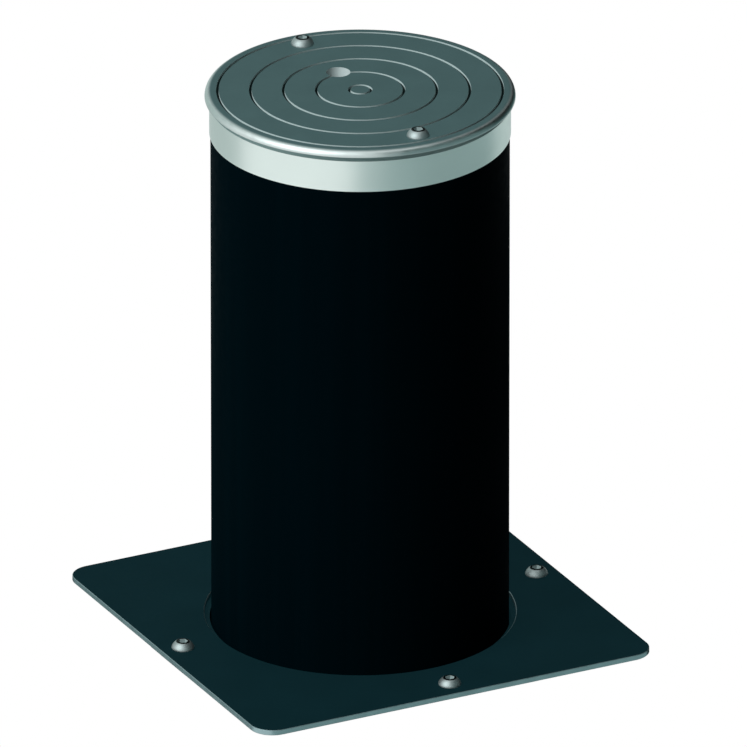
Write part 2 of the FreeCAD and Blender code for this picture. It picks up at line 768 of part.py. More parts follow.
def head_cap():
    """Turned head: rounded lip, tapered underside, grip grooves, key hole and a spigot in the tube."""
    body = new_body("head_cap", "Fits.head_seat")
    profile = new_sketch(body, "XZ_Plane")
    spigot = "Fits.tube_bore_radius - Sizes.seat_gap"
    draw_outline(profile, [
        ("0", "0"),
        (f"{spigot} - Sizes.spigot_wall", "0"),
        (f"{spigot} - Sizes.spigot_wall", "-Sizes.spigot_depth"),
        (spigot, "-Sizes.spigot_depth"),
        (spigot, "0"),
        ("Fits.band_radius", "0"),
        ("Fits.lip_radius", "Sizes.lip_height - Sizes.lip_edge_radius", "Sizes.lip_edge_radius"),
        ("Fits.lip_radius - Sizes.lip_edge_radius", "Sizes.lip_height"),
        ("0", "Sizes.lip_height"),
    ])
    revolve(body, profile)
    rings = new_sketch(body, "XZ_Plane")
    for index in range(int(number("Sizes.groove_count"))):
        middle = f"Sizes.groove_first_radius + {index} * Sizes.groove_pitch"
        inner = f"{middle} - Sizes.groove_width / 2"
        outer = f"{middle} + Sizes.groove_width / 2"
        floor = "Sizes.lip_height - Sizes.groove_depth"
        draw_outline(rings, rectangle(inner, outer, floor, "Sizes.lip_height"))
    grooves = body.newObject("PartDesign::Groove", "head_cap_grooves")
    grooves.Profile = rings
    grooves.ReferenceAxis = (rings, ["V_Axis"])
    grooves.Angle = 360
    doc.recompute()
    bore(body, "Sizes.key_hole_diameter", "0", "Sizes.key_offset")
    hole = bore(body, "Fits.screw_hole", "0", "Fits.head_screw_radius")
    repeat_round(body, [hole], "Sizes.head_screw_count")


def head_lugs():
    """Tapped blocks welded inside the tube for the head screws."""
    body = new_body("head_lugs", "Fits.head_seat - Sizes.spigot_depth - Sizes.rest_gap - Sizes.lug_height")
    outline = new_sketch(body, "XY_Plane")
    half = "Sizes.lug_width / 2"
    draw_outline(outline, rectangle(f"-{half}", half, "Fits.lug_face", "Fits.lug_back"))
    block = pad(body, outline, "Sizes.lug_height")
    hole = bore(body, "Fits.screw_thread_hole", "0", "Fits.head_screw_radius")
    repeat_round(body, [block, hole], "Sizes.head_screw_count")


def carrier_plate():
    """Plate welded across the tube that the gas spring pushes on."""
    radius = "Fits.tube_bore_radius - Sizes.seat_gap"
    body = disc("carrier_plate", "Fits.carrier_bottom", radius, "Sizes.carrier_thickness")
    bore(body, "Sizes.stud_diameter + Sizes.screw_clearance")
    bore(body, "2 * (Fits.bush_radius + Sizes.seat_gap)", "0", "Sizes.key_offset")
    window = bore(body, "Sizes.carrier_window", "Sizes.carrier_window_offset")
    repeat_round(body, [window], "Sizes.carrier_window_count")


def spindle_bush(label, z, length):
    """Flanged bush that the spindle turns in, its flange seated at height z."""
    body = new_body(label, z, "Sizes.key_offset")
    profile = new_sketch(body, "XZ_Plane")
    inner = "Sizes.spindle_diameter / 2 + Sizes.running_gap"
    flange = "Fits.bush_radius + Sizes.bush_flange_width"
    draw_outline(profile, [
        (inner, f"-{length}"),
        ("Fits.bush_radius", f"-{length}"),
        ("Fits.bush_radius", "0"),
        (flange, "0"),
        (flange, "Sizes.bush_flange_height"),
        (inner, "Sizes.bush_flange_height"),
    ])
    revolve(body, profile)


def foot_plate():
    """Plate welded under the tube: its edge meets the stop ring and runs on the two rails."""
    body = disc("foot_plate", "Fits.foot_bottom", "Fits.foot_radius", "Sizes.foot_thickness")
    bore(body, "Sizes.foot_bore")
    bore(body, "2 * (Fits.bush_radius + Sizes.seat_gap)", "0", "Sizes.key_offset")
    for x, y in HOUSING_SCREW_PLACES:
        bore(body, "Fits.housing_screw_hole", x, y)
    vent = bore(body, "Sizes.foot_vent", "Sizes.foot_vent_offset")
    repeat_round(body, [vent], "Sizes.foot_vent_count")
    notch = new_sketch(body, "XY_Plane")
    side = "(Sizes.rail_width / 2 + Sizes.notch_gap)"
    floor = "Fits.rail_face - Sizes.notch_gap"
    draw_outline(notch, rectangle(f"-{side}", side, floor, "Fits.foot_radius"))
    slot = cut(body, notch)
    repeat_round(body, [slot], "Sizes.rail_count")


def gas_spring_rod():
    """Polished rod: a spigot in the piston below, a threaded stud in the carrier above."""
    body = new_body("gas_spring_rod", "Fits.piston_bottom")
    profile = new_sketch(body, "XZ_Plane")
    rod = "Sizes.rod_diameter / 2"
    stud = "Sizes.stud_diameter / 2"
    shoulder = "Fits.carrier_bottom - Sizes.rod_nut_height - Fits.piston_bottom"
    tip = "Fits.carrier_top + Sizes.rod_nut_height + Sizes.rod_spare - Fits.piston_bottom"
    draw_outline(profile, [
        ("0", "0"),
        ("Sizes.piston_bore / 2", "0"),
        ("Sizes.piston_bore / 2", "Sizes.piston_height"),
        (rod, "Sizes.piston_height"),
        (rod, shoulder),
        (stud, shoulder),
        (stud, tip),
        ("0", tip),
    ])
    revolve(body, profile)


def gas_spring_piston():
    """Piston on the end of the rod."""
    inner = "Sizes.piston_bore / 2 + Sizes.seat_gap"
    outer = "Fits.spring_bore_radius - Sizes.running_gap"
    ring("gas_spring_piston", "Fits.piston_bottom", "Sizes.piston_height", inner, outer)


def rod_nuts():
    """Nuts on the stud, one on each side of the carrier."""
    body = new_body("rod_nuts", "Fits.carrier_bottom - Sizes.rod_nut_height")
    for level in ("0", "Sizes.rod_nut_height + Sizes.carrier_thickness"):
        outline = new_sketch(body, "XY_Plane", z=level)
        draw_outline(outline, hexagon("Sizes.rod_nut_flats"))
        pad(body, outline, "Sizes.rod_nut_height")
    bore(body, "Sizes.stud_diameter + Sizes.thread_clearance")


def latch_housing():
    """Channel under the foot plate that the latch bolt slides in."""
    body = new_body("latch_housing", "Fits.housing_bottom")
    profile = new_sketch(body, "XZ_Plane", z="-Fits.housing_end")
    top = "Fits.foot_bottom - Fits.housing_bottom"
    ledge = f"{top} - Sizes.housing_flange_thickness"
    edge = "Fits.housing_side + Sizes.housing_flange"
    draw_outline(profile, [
        ("-Fits.housing_side", "0"),
        ("Fits.housing_side", "0"),
        ("Fits.housing_side", ledge),
        (edge, ledge),
        (edge, top),
        ("Fits.housing_half", top),
        ("Fits.housing_half", "Sizes.housing_wall"),
        ("-Fits.housing_half", "Sizes.housing_wall"),
        ("-Fits.housing_half", top),
        (f"-({edge})", top),
        (f"-({edge})", ledge),
        ("-Fits.housing_side", ledge),
    ])
    pad(body, profile, "Fits.housing_end - Fits.bolt_end")
    for x, y in HOUSING_SCREW_PLACES:
        bore(body, "Fits.housing_screw_hole", x, y)


def housing_screws():
    """Screws that hold the latch housing to the foot plate."""
    cap_screws("housing_screws", "Fits.foot_bottom - Sizes.housing_flange_thickness", HOUSING_SCREW_PLACES,
               "Sizes.housing_screw_diameter", "Sizes.housing_screw_length")


# Key lock, which turns, and the latch bolt that it slides


def lock_spindle():
    """Long shaft under the key hole with a three-sided drive for the key."""
    body = new_body("lock_spindle", "Fits.crank_bottom", "Sizes.key_offset")
    shaft = new_sketch(body, "XY_Plane")
    draw_circle(shaft, "Sizes.spindle_diameter")
    pad(body, shaft, "Fits.spindle_top - Fits.crank_bottom")
    drive = new_sketch(body, "XY_Plane", z="Fits.spindle_top - Fits.crank_bottom")
    half = "Sizes.key_drive_size / 2"
    rise = "Sizes.key_drive_size / sqrt(3)"
    draw_outline(drive, [(f"-{half}", f"-{rise} / 2"), (half, f"-{rise} / 2"), ("0", rise)])
    pad(body, drive, "Sizes.key_drive_height")


def spindle_collar():
    """Collar that hangs the spindle on its upper bush."""
    level = "Fits.carrier_top + Sizes.bush_flange_height + Sizes.slide_gap"
    body = new_body("spindle_collar", level, "Sizes.key_offset")
    profile = new_sketch(body, "XZ_Plane")
    inner = "Sizes.spindle_diameter / 2 + Sizes.seat_gap"
    draw_outline(profile, rectangle(inner, "Sizes.collar_diameter / 2", "0", "Sizes.collar_height"))
    revolve(body, profile)


def crank():
    """Disc on the spindle's lower end with an eccentric pin that works in the latch bolt's slot."""
    body = new_body("crank", "Fits.crank_bottom", "Sizes.key_offset")
    outline = new_sketch(body, "XY_Plane")
    draw_circle(outline, "2 * Fits.crank_rim_radius")
    pad(body, outline, "Sizes.crank_thickness")
    bore(body, "Sizes.spindle_diameter + 2 * Sizes.seat_gap")
    pin = new_sketch(body, "XY_Plane")
    draw_circle(pin, "Sizes.crank_pin_diameter", "Sizes.latch_stroke / 2", "-Sizes.latch_stroke / 2")
    pad(body, pin, "Sizes.slide_gap + Sizes.bolt_height - Sizes.crank_pin_short", backwards=True)


def latch_bolt():
    """Flat bolt with a cross slot for the crank pin and a bevelled tip."""
    body = new_body("latch_bolt", "Fits.bolt_bottom")
    outline = new_sketch(body, "XY_Plane")
    half = "Sizes.bolt_width / 2"
    draw_outline(outline, rectangle(f"-{half}", half, "Fits.bolt_end", "Fits.bolt_tip"))
    bar = pad(body, outline, "Sizes.bolt_height")
    tip = number("Fits.bolt_tip")

    def at_tip(edge):
        return runs_along(edge, "x") and math.isclose(edge.CenterOfMass.y, tip)

    dress(body, "Chamfer", bar, "Sizes.bolt_chamfer", at_tip)
    slot = new_sketch(body, "XY_Plane")
    middle = "(Fits.crank_radius + Sizes.latch_stroke / 2) / 2"
    reach = "Sizes.yoke_length / 2"
    width = "(Sizes.crank_pin_diameter / 2 + Sizes.crank_pin_gap)"
    draw_outline(slot, rectangle(f"{middle} - {reach}", f"{middle} + {reach}",
                                 f"Fits.yoke_offset - {width}", f"Fits.yoke_offset + {width}"))
    cut(body, slot)


def check_and_write():
    """Refuse a failed feature or a bad shape, then write each sub-part to its own file."""
    doc.recompute()
    failed = [item.Label for item in doc.Objects if {"Invalid", "Error"} & set(item.State)]
    bad = [body.Label for body in subparts if body.Shape.isNull() or not body.Shape.isValid()]
    if failed or bad:
        raise RuntimeError(f"failed features {failed}, bad shapes {bad}")
    os.makedirs("parts", exist_ok=True)
    for body in subparts:
        body.Shape.exportStep(f"parts/{body.Label}.step")
        print(f"{body.Label}: {len(body.Shape.Solids)} solids, {body.Shape.Volume / 1000:.1f} cm3")


cover_plate()
button_screws("cover_screws", "Sizes.plate_thickness", "Fits.cover_screw_radius", "Sizes.cover_screw_count",
              "Sizes.cover_screw_length", 0)
guide_flange()
wiper_seal()
guide_bush()
retaining_ring()
retaining_screws()
stop_ring()
casing_rim()
weld_nuts()
casing_shell()
casing_base()
anchor_claws()
rail("latch_rail", 0, ["Fits.bolt_middle", "Fits.bolt_middle - Fits.travel"])
rail("guide_rail", HALF_TURN, [])
base_buffers()
gas_spring_bracket()
gas_spring_pin()
gas_spring_cylinder()
gas_spring_gland()
bollard_tube()
head_band()
head_cap()
button_screws("head_screws", "Fits.head_top", "Fits.head_screw_radius", "Sizes.head_screw_count",
              "Sizes.head_screw_length", QUARTER_TURN)
head_lugs()
carrier_plate()
spindle_bush("upper_bush", "Fits.carrier_top", "Sizes.carrier_thickness")
foot_plate()
spindle_bush("lower_bush", "Fits.foot_top", "Sizes.foot_thickness")
gas_spring_rod()
gas_spring_piston()
rod_nuts()
latch_housing()
housing_screws()
lock_spindle()
spindle_collar()
crank()
latch_bolt()
check_and_write()
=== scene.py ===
"""Finishes and close detail for a semi-automatic bollard, built round its packed CAD model.

The head, its band, the cover plate and the dome screws are modelled again with rounded edges, threads and
drilled sockets, and the casing gets weld beads. The other CAD nodes keep their shapes and get a finish.
Lengths are in metres.
"""
import math

import bmesh
import bpy
from bpy.props import FloatProperty, FloatVectorProperty, IntProperty, PointerProperty
from mathutils import Matrix, Vector


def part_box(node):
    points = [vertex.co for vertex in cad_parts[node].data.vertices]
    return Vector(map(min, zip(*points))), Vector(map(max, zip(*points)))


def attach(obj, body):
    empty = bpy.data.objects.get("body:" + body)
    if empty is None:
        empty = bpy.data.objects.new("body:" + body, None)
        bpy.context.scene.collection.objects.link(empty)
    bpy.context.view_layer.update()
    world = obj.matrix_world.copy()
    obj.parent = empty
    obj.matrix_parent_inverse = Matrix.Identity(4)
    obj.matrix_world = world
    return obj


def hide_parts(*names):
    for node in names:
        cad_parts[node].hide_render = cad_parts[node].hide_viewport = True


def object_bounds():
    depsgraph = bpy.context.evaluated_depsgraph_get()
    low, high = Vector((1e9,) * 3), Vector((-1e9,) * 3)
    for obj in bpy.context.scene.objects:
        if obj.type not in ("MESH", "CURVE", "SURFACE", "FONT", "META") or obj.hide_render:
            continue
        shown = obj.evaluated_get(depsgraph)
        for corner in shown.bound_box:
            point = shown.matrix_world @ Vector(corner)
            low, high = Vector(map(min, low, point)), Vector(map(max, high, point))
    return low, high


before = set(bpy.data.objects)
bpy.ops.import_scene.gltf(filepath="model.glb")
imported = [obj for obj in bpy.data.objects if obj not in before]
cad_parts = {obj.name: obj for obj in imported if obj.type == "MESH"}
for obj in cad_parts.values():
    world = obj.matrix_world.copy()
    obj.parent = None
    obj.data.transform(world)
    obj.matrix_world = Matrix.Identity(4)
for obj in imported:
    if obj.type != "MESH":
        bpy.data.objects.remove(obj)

bl_info = {
    "name": "Semi-automatic bollard",
    "version": (1, 0, 0),
    "blender": (4, 5, 0),
    "location": "3D View > Sidebar > Bollard",
    "description": "Dresses the CAD model of a key-worked rising bollard and sets it on a studio floor",
    "category": "Object",
}

CAD_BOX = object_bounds()
MM = 0.001
TURN = 2 * math.pi
UP = Vector((0, 0, 1))
WHITE = (1, 1, 1)
SHARP_ANGLE = math.radians(32)
MERGE_DISTANCE = 0.002 * MM

HEAD_LOW, HEAD_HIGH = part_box("head_cap")
BAND_LOW, BAND_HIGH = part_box("head_band")
PLATE_LOW, PLATE_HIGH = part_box("cover_plate")
CLAW_LOW, CLAW_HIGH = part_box("anchor_claws")
TUBE_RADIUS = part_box("bollard_tube")[1].x
SHELL_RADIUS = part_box("casing_shell")[1].x
RIM_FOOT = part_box("casing_rim")[0].z
BASE_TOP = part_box("casing_base")[1].z
COVER_SCREW_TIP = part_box("cover_screws")[0].z
HEAD_SCREW_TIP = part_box("head_screws")[0].z

# Segments of a full circle, from the widest pieces to the smallest, and of a rounded corner
HEAD_STEPS = 192
BORE_STEPS = 160
STAGE_STEPS = 128
DRILL_STEPS = 64
SCREW_STEPS = 48
HOLE_STEPS = 32
CORNER_STEPS = 12

# Thread of a screw: depth as a share of the pitch, corners of the section, sections in a turn
THREAD_DEPTH = 0.61
THREAD_CORNERS = 24
THREAD_STEPS = 8

# Weld beads: share of the swell that is lost between ripples, cuts in a ripple, sides of an upright bead,
# steps of a fillet and how far its back lies in the steel
RIPPLE_LOSS = 0.18
RIPPLE_CUTS = 3
BEAD_SIDES = 12
FILLET_STEPS = 5
FILLET_LAP = 1 * MM

# Texture noise: roughness of its octaves and the part of its range that is used
NOISE_ROUGHNESS = 0.55
NOISE_LOW = 0.3
NOISE_HIGH = 0.7

# Sockets of the Mix node that hold colours
MIX_COLOURS = (6, 7)
MIX_RESULT = 2


def display(red, green, blue):
    """Linear colour of a display colour given from 0 to 255."""
    def linear(value):
        value = value / 255
        return value / 12.92 if value <= 0.04045 else ((value + 0.055) / 1.055) ** 2.4
    return linear(red), linear(green), linear(blue)


def length(name, description, default):
    """A length that the sidebar shows in the scene's units."""
    return FloatProperty(name=name, description=description, default=default, unit="LENGTH", precision=5)


def number(name, description, default, subtype="NONE"):
    """A plain number, an angle or a power."""
    return FloatProperty(name=name, description=description, default=default, subtype=subtype)


def colour(name, description, default):
    """A linear colour."""
    return FloatVectorProperty(
        name=name, description=description, default=default, size=3, min=0, max=1, subtype="COLOR")


class HeadSettings(bpy.types.PropertyGroup):
    """Sizes and colours of the turned head and its band."""

    lip_radius: length("Lip radius", "Widest radius of the head", HEAD_HIGH.x)
    lip_edge: length("Lip edge radius", "Rounding of the top of the lip", 6 * MM)
    lip_height: length("Lip height", "Height of the head above the end of the tube", 11.5 * MM)
    seat_radius: length("Seat radius", "Radius of the head where it meets the band", BAND_HIGH.x)
    spigot_wall: length("Spigot wall", "Thickness of the ring that enters the tube", 6 * MM)
    tube_wall: length("Tube wall", "Wall of the tube that the spigot fits", 6 * MM)
    fit: length("Fit", "Play between the tube and the pieces in it and round it", 0.1 * MM)
    groove_first: length("First groove", "Radius of the smallest grip groove", 10 * MM)
    groove_pitch: length("Groove pitch", "Step from one grip groove to the next", 30 * MM)
    groove_count: IntProperty(name="Grooves", description="Number of grip grooves", default=5, min=0)
    groove_width: length("Groove width", "Width of a grip groove", 2.5 * MM)
    groove_depth: length("Groove depth", "Depth of a grip groove", 2 * MM)
    key_offset: length("Key offset", "Distance of the key hole from the axis", 44.3 * MM)
    key_radius: length("Key hole radius", "Radius of the key hole", 11 * MM)
    screw_circle: length("Screw circle", "Radius of the circle of head screws", 117 * MM)
    screw_hole: length("Screw hole radius", "Radius of the holes for the head screws", 6.75 * MM)
    edge: length("Edge round", "Rounding of the turned edges", 0.08 * MM)
    top_colour: colour("Top", "Matt grey-green of the head's top", display(71, 97, 98))
    lip_colour: colour("Lip", "Polished metal of the lip", (0.54, 0.62, 0.61))
    # Colour of the faces that look down under the lip: painted shade, with no polish
    under_shade_colour: colour("Under the lip", "Painted shade on the taper under the lip", display(140, 172, 171))
    # Upright walls are coloured far lighter than the flat top: painted light for the light the walls catch,
    # while the lamps still shade one side
    painted_light_key_colour: colour("Key hole", "Wall of the key hole, painted lighter still for the light on it", (0.42, 0.50, 0.50))
    painted_light_wall_colour: colour("Cut walls", "Walls cut into the top, painted lighter than the top for the light they catch", (0.37, 0.47, 0.47))
    # Near-black floor of the grip grooves: painted shade for the recess
    groove_shade_colour: colour("Groove floor", "Painted shade in the floor of the grip grooves", (0.002, 0.006, 0.006))
    band_colour: colour("Band", "Satin metal of the band", (0.68, 0.78, 0.75))


class ScrewSettings(bpy.types.PropertyGroup):
    """Sizes and colours of the dome-headed socket screws."""

    diameter: length("Thread diameter", "Outside diameter of the thread", 12 * MM)
    pitch: length("Thread pitch", "Rise of the thread in one turn", 1.75 * MM)
    thread_length: length("Thread length", "Length of thread at the tip of a screw", 14 * MM)
    neck: length("Neck", "Chamfer of the plain shank where the thread starts", 1 * MM)
    head_diameter: length("Head diameter", "Widest diameter of the dome", 21 * MM)
    head_height: length("Head height", "Height of the dome above its seat", 6.6 * MM)
    head_rim: length("Head rim", "Height of the straight rim under the dome", 0.8 * MM)
    head_flat: length("Head flat", "Diameter of the flat on top of the dome", 11.4 * MM)
    dome_radius: length("Dome radius", "Radius of the dome's curve", 10 * MM)
    socket: length("Socket", "Width across the flats of the socket", 8 * MM)
    socket_depth: length("Socket depth", "Depth of the socket's flats", 4.5 * MM)
    socket_cone: length("Socket cone", "Depth of the cone under the socket's flats", 1.2 * MM)
    socket_turn: number("Socket turn", "Turn of each socket from the one before it", 0.35, "ANGLE")
    cover_circle: length("Cover screw circle", "Radius of the circle of cover screws", 181.5 * MM)
    steel_colour: colour("Screw steel", "Satin stainless steel of the dome", (0.30, 0.362, 0.362))
    # Near-black ring on the up-facing flat of the dome: painted shade
    flat_shade_colour: colour("Screw flat", "Dark ring on the flat of the dome", (0.002, 0.005, 0.005))
    socket_colour: colour("Screw socket", "Bright steel inside the socket", (0.24, 0.31, 0.31))


class PlateSettings(bpy.types.PropertyGroup):
    """Sizes and colours of the cover plate."""

    half_width: length("Half width", "Half of the plate's width", PLATE_HIGH.x)
    corner: length("Corner radius", "Rounding of the plate's corners", 22 * MM)
    bore: length("Bore radius", "Radius of the opening for the post", 143 * MM)
    screw_hole: length("Screw hole radius", "Radius of the four screw holes", 6.75 * MM)
    edge: length("Edge round", "Rounding of the cut edges", 0.5 * MM)
    top_colour: colour("Paint", "Dark blue-green paint of the plate", display(14, 39, 44))
    # Paler metal of the upright edges: painted light, lighter than the top for the light the edges catch
    painted_light_edge_colour: colour("Cut edge", "Cut edge of the plate, painted paler for the light it catches", (0.29, 0.42, 0.435))


class BodySettings(bpy.types.PropertyGroup):
    """Colours of the post, the casing and the works inside, and sizes of the casing's welds."""

    post_colour: colour("Post paint", "Black paint of the post", (0.0001, 0.0029, 0.0043))
    post_sheen: colour("Post sheen", "Cool tint of the shine on the post", (0.05, 0.72, 1.0))
    galvanised_colour: colour("Galvanised", "Hot-dip zinc on the buried steel", (0.50, 0.52, 0.53))
    zinc_colour: colour("Zinc plate", "Bright zinc plating", (0.62, 0.63, 0.62))
    spring_colour: colour("Spring paint", "Black gloss of the gas spring", (0.012, 0.012, 0.014))
    nylon_colour: colour("Nylon", "Natural nylon of the guide", (0.72, 0.68, 0.58))
    rubber_colour: colour("Rubber", "Black rubber of seal and buffers", (0.018, 0.018, 0.018))
    bronze_colour: colour("Bronze", "Turned bronze bushes", (0.55, 0.33, 0.13))
    bead_leg: length("Weld leg", "Leg of the weld beads on the casing", 4 * MM)
    bead_ripple: length("Weld ripple", "Spacing of the ripples in a weld bead", 2.6 * MM)
    seam_radius: length("Seam bead", "Radius of the bead up the casing's seam", 2.4 * MM)
    seam_place: number(
        "Seam place", "Direction of the casing's seam from the +X side", math.radians(112), "ANGLE")
    claw_width: length("Claw width", "Width of the anchor claws", 30 * MM)
    claw_foot: length("Claw weld foot", "From the foot of a claw up to its weld beads", 4 * MM)
    claw_head: length("Claw weld head", "From the top of a claw down to its weld beads", 3 * MM)


class StageSettings(bpy.types.PropertyGroup):
    """Camera, floor and lights."""

    azimuth: number("Azimuth", "Direction of the camera round the post", math.radians(-26.787), "ANGLE")
    elevation: number("Elevation", "Height of the camera above the horizon", math.radians(24.046), "ANGLE")
    distance: length("Distance", "From the camera to the point it looks at", 32.332)
    aim_right: length("Aim right", "Shift of the view to the right", 12.21 * MM)
    aim_up: length("Aim up", "Shift of the view upwards", 217.13 * MM)
    lens: number("Lens", "Focal length in millimetres", 1700)
    sensor: number("Sensor", "Sensor width in millimetres", 36)
    floor_radius: length("Floor radius", "Radius of the floor under the casing", 1.0)
    floor_gap: length("Floor gap", "From the casing's base down to the floor", 0.5 * MM)
    floor_colour: colour("Floor", "Pale floor", (0.86, 0.86, 0.86))
    floor_glow: number("Floor glow", "Share of plain white in the middle of the floor", 0.82)
    fade_start: number("Fade start", "Share of the floor's radius where it starts to fade to white", 0.6)
    fade_end: number("Fade end", "Share of the floor's radius where it is white", 0.95)
    ground_reach: length("Ground reach", "Radius of the ground card about the post", 342 * MM)
    ground_margin: length("Ground margin", "From the card's ends to the plate's two side corners", 12 * MM)
    ground_lap: length("Ground lap", "Height of the card's cut above the plate's lower edge", 0.2 * MM)
    ground_nearer: length("Ground nearer", "From the plate to the card, towards the camera", 1.0)
    ambient: number("Ambient", "Soft light from all round", 0.04)
    key_power: number("Key light", "Power of the key light", 945, "POWER")
    back_power: number("Back light", "Power of the back light", 7, "POWER")


def add_object(name, data):
    """A new object in the scene's collection."""
    piece = bpy.data.objects.new(name, data)
    bpy.context.scene.collection.objects.link(piece)
    return piece


def shade_smooth(mesh):
    """Shades a mesh smooth, with its sharp edges kept."""
    mesh.shade_smooth()
    mesh.set_sharp_from_angle(angle=SHARP_ANGLE)


def make_piece(name, shape, *materials):
    """Turns a bmesh into an object at the origin."""
    mesh = bpy.data.meshes.new(name)
    shape.to_mesh(mesh)
    shape.free()
    shade_smooth(mesh)
    for material in materials:
        mesh.materials.append(material)
    return add_object(name, mesh)


def keep_flats_flat(piece):
    """Weighs shading by face area, so that rounded edges don't tint the flats beside them."""
    weigh = piece.modifiers.new("flats", "WEIGHTED_NORMAL")
    weigh.keep_sharp = True


def place_piece(piece, body, slot, *nodes):
    """Names the body that carries a piece and the CAD nodes it stands for, which it hides; its material
    slot is not used.
    """
    keep_flats_flat(piece)
    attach(piece, body)
    if nodes:
        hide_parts(*nodes)


def finish_nodes(material, *names):
    """Gives CAD nodes a finish."""
    for name in names:
        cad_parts[name].material_slots[0].material = material


def merge_and_face(shape):
    """Closes seams and poles, then turns every face outwards."""
    bmesh.ops.remove_doubles(shape, verts=shape.verts[:], dist=MERGE_DISTANCE)
    bmesh.ops.recalc_face_normals(shape, faces=shape.faces[:])


def add_chain(shape, points, closed):
    """A chain of edges through the points, closed into a loop if asked."""
    verts = [shape.verts.new(point) for point in points]
    pairs = list(zip(verts, verts[1:]))
    if closed:
        pairs.append((verts[-1], verts[0]))
    return verts + [shape.edges.new(pair) for pair in pairs]


def join(shape, part):
    """Adds one shape to another."""
    mesh = bpy.data.meshes.new("part")
    part.to_mesh(mesh)
    part.free()
    shape.from_mesh(mesh)
    bpy.data.meshes.remove(mesh)


def sweep(shape, chain, angle, steps, rise=0.0, merge=False):
    """Spins a chain about the axis, with a rise at each step, and gives what lies at the end."""
    return bmesh.ops.spin(
        shape, geom=chain, cent=(0, 0, 0), axis=UP, dvec=(0, 0, rise), angle=angle, steps=steps,
        use_merge=merge, use_normal_flip=False, use_duplicate=False)["geom_last"]


def turn_profile(shape, profile, steps, closed=False):
    """Turns a profile of (radius, height) points about the axis."""
    chain = add_chain(shape, [(radius, 0, height) for radius, height in profile], closed)
    sweep(shape, chain, TURN, steps, merge=True)
    merge_and_face(shape)


def round_edges(shape, width):
    """Rounds every edge that turns by more than the sharp angle."""
    sharp = [edge for edge in shape.edges if edge.is_manifold and edge.calc_face_angle() > SHARP_ANGLE]
    bmesh.ops.bevel(
        shape, geom=sharp, offset=width, offset_type="OFFSET", segments=2, profile=0.5,
        affect="EDGES", clamp_overlap=True, material=-1)


def arc(centre, radius, start, end, steps):
    """Points of an arc of a profile, angles in degrees."""
    points = []
    for index in range(steps + 1):
        angle = math.radians(start + (end - start) * index / steps)
        points.append((centre[0] + radius * math.cos(angle), centre[1] + radius * math.sin(angle)))
    return points


def drill(piece, place, radius, chamfer, top, bottom):
    """Cuts a chamfered hole through a piece with a turned cutter."""
    shape = bmesh.new()
    spare = 2 * MM
    turn_profile(shape, [
        (0, top + spare),
        (radius + chamfer + spare, top + spare),
        (radius, top - chamfer),
        (radius, bottom - spare),
        (0, bottom - spare),
    ], DRILL_STEPS)
    bmesh.ops.translate(shape, verts=shape.verts[:], vec=(place[0], place[1], 0))
    cutter = make_piece("cutter", shape, piece.data.materials[0])
    cut = piece.modifiers.new("hole", "BOOLEAN")
    cut.operation = "DIFFERENCE"
    cut.solver = "EXACT"
    cut.object = cutter
    graph = bpy.context.evaluated_depsgraph_get()
    cut_mesh = bpy.data.meshes.new_from_object(piece.evaluated_get(graph))
    piece.modifiers.clear()
    piece.data = cut_mesh
    bpy.data.objects.remove(cutter)
    shade_smooth(cut_mesh)


class Nodes:
    """The node tree of a material or a world, and the ways to add to it."""

    def __init__(self, owner):
        owner.use_nodes = True
        self.tree = owner.node_tree

    def feed(self, socket, value):
        """Links a socket or sets its value; a colour gets its alpha."""
        if isinstance(value, bpy.types.NodeSocket):
            self.tree.links.new(value, socket)
        elif socket.type == "RGBA":
            socket.default_value = (*value, 1)
        else:
            socket.default_value = value

    def node(self, kind, *values, **named):
        """A node whose inputs are fed in order, by name or both."""
        made = self.tree.nodes.new(kind)
        for socket, value in zip(made.inputs, values):
            self.feed(socket, value)
        for name, value in named.items():
            self.feed(made.inputs[name.replace("_", " ")], value)
        return made

    def maths(self, operation, first, second=0.0):
        """A Math node."""
        made = self.node("ShaderNodeMath", first, second)
        made.operation = operation
        return made.outputs["Value"]

    def range(self, value, low, high, to_low=0.0, to_high=1.0):
        """Maps a value from one range to another, held at the ends."""
        return self.node(
            "ShaderNodeMapRange", Value=value, From_Min=low, From_Max=high, To_Min=to_low,
            To_Max=to_high).outputs["Result"]

    def backdrop_rays(self):
        """1 for rays from the camera and for what gloss and glass show, 0 for soft light."""
        rays = self.node("ShaderNodeLightPath").outputs
        shown = self.maths("MAXIMUM", rays["Is Camera Ray"], rays["Is Glossy Ray"])
        return self.maths("MAXIMUM", shown, rays["Is Transmission Ray"])


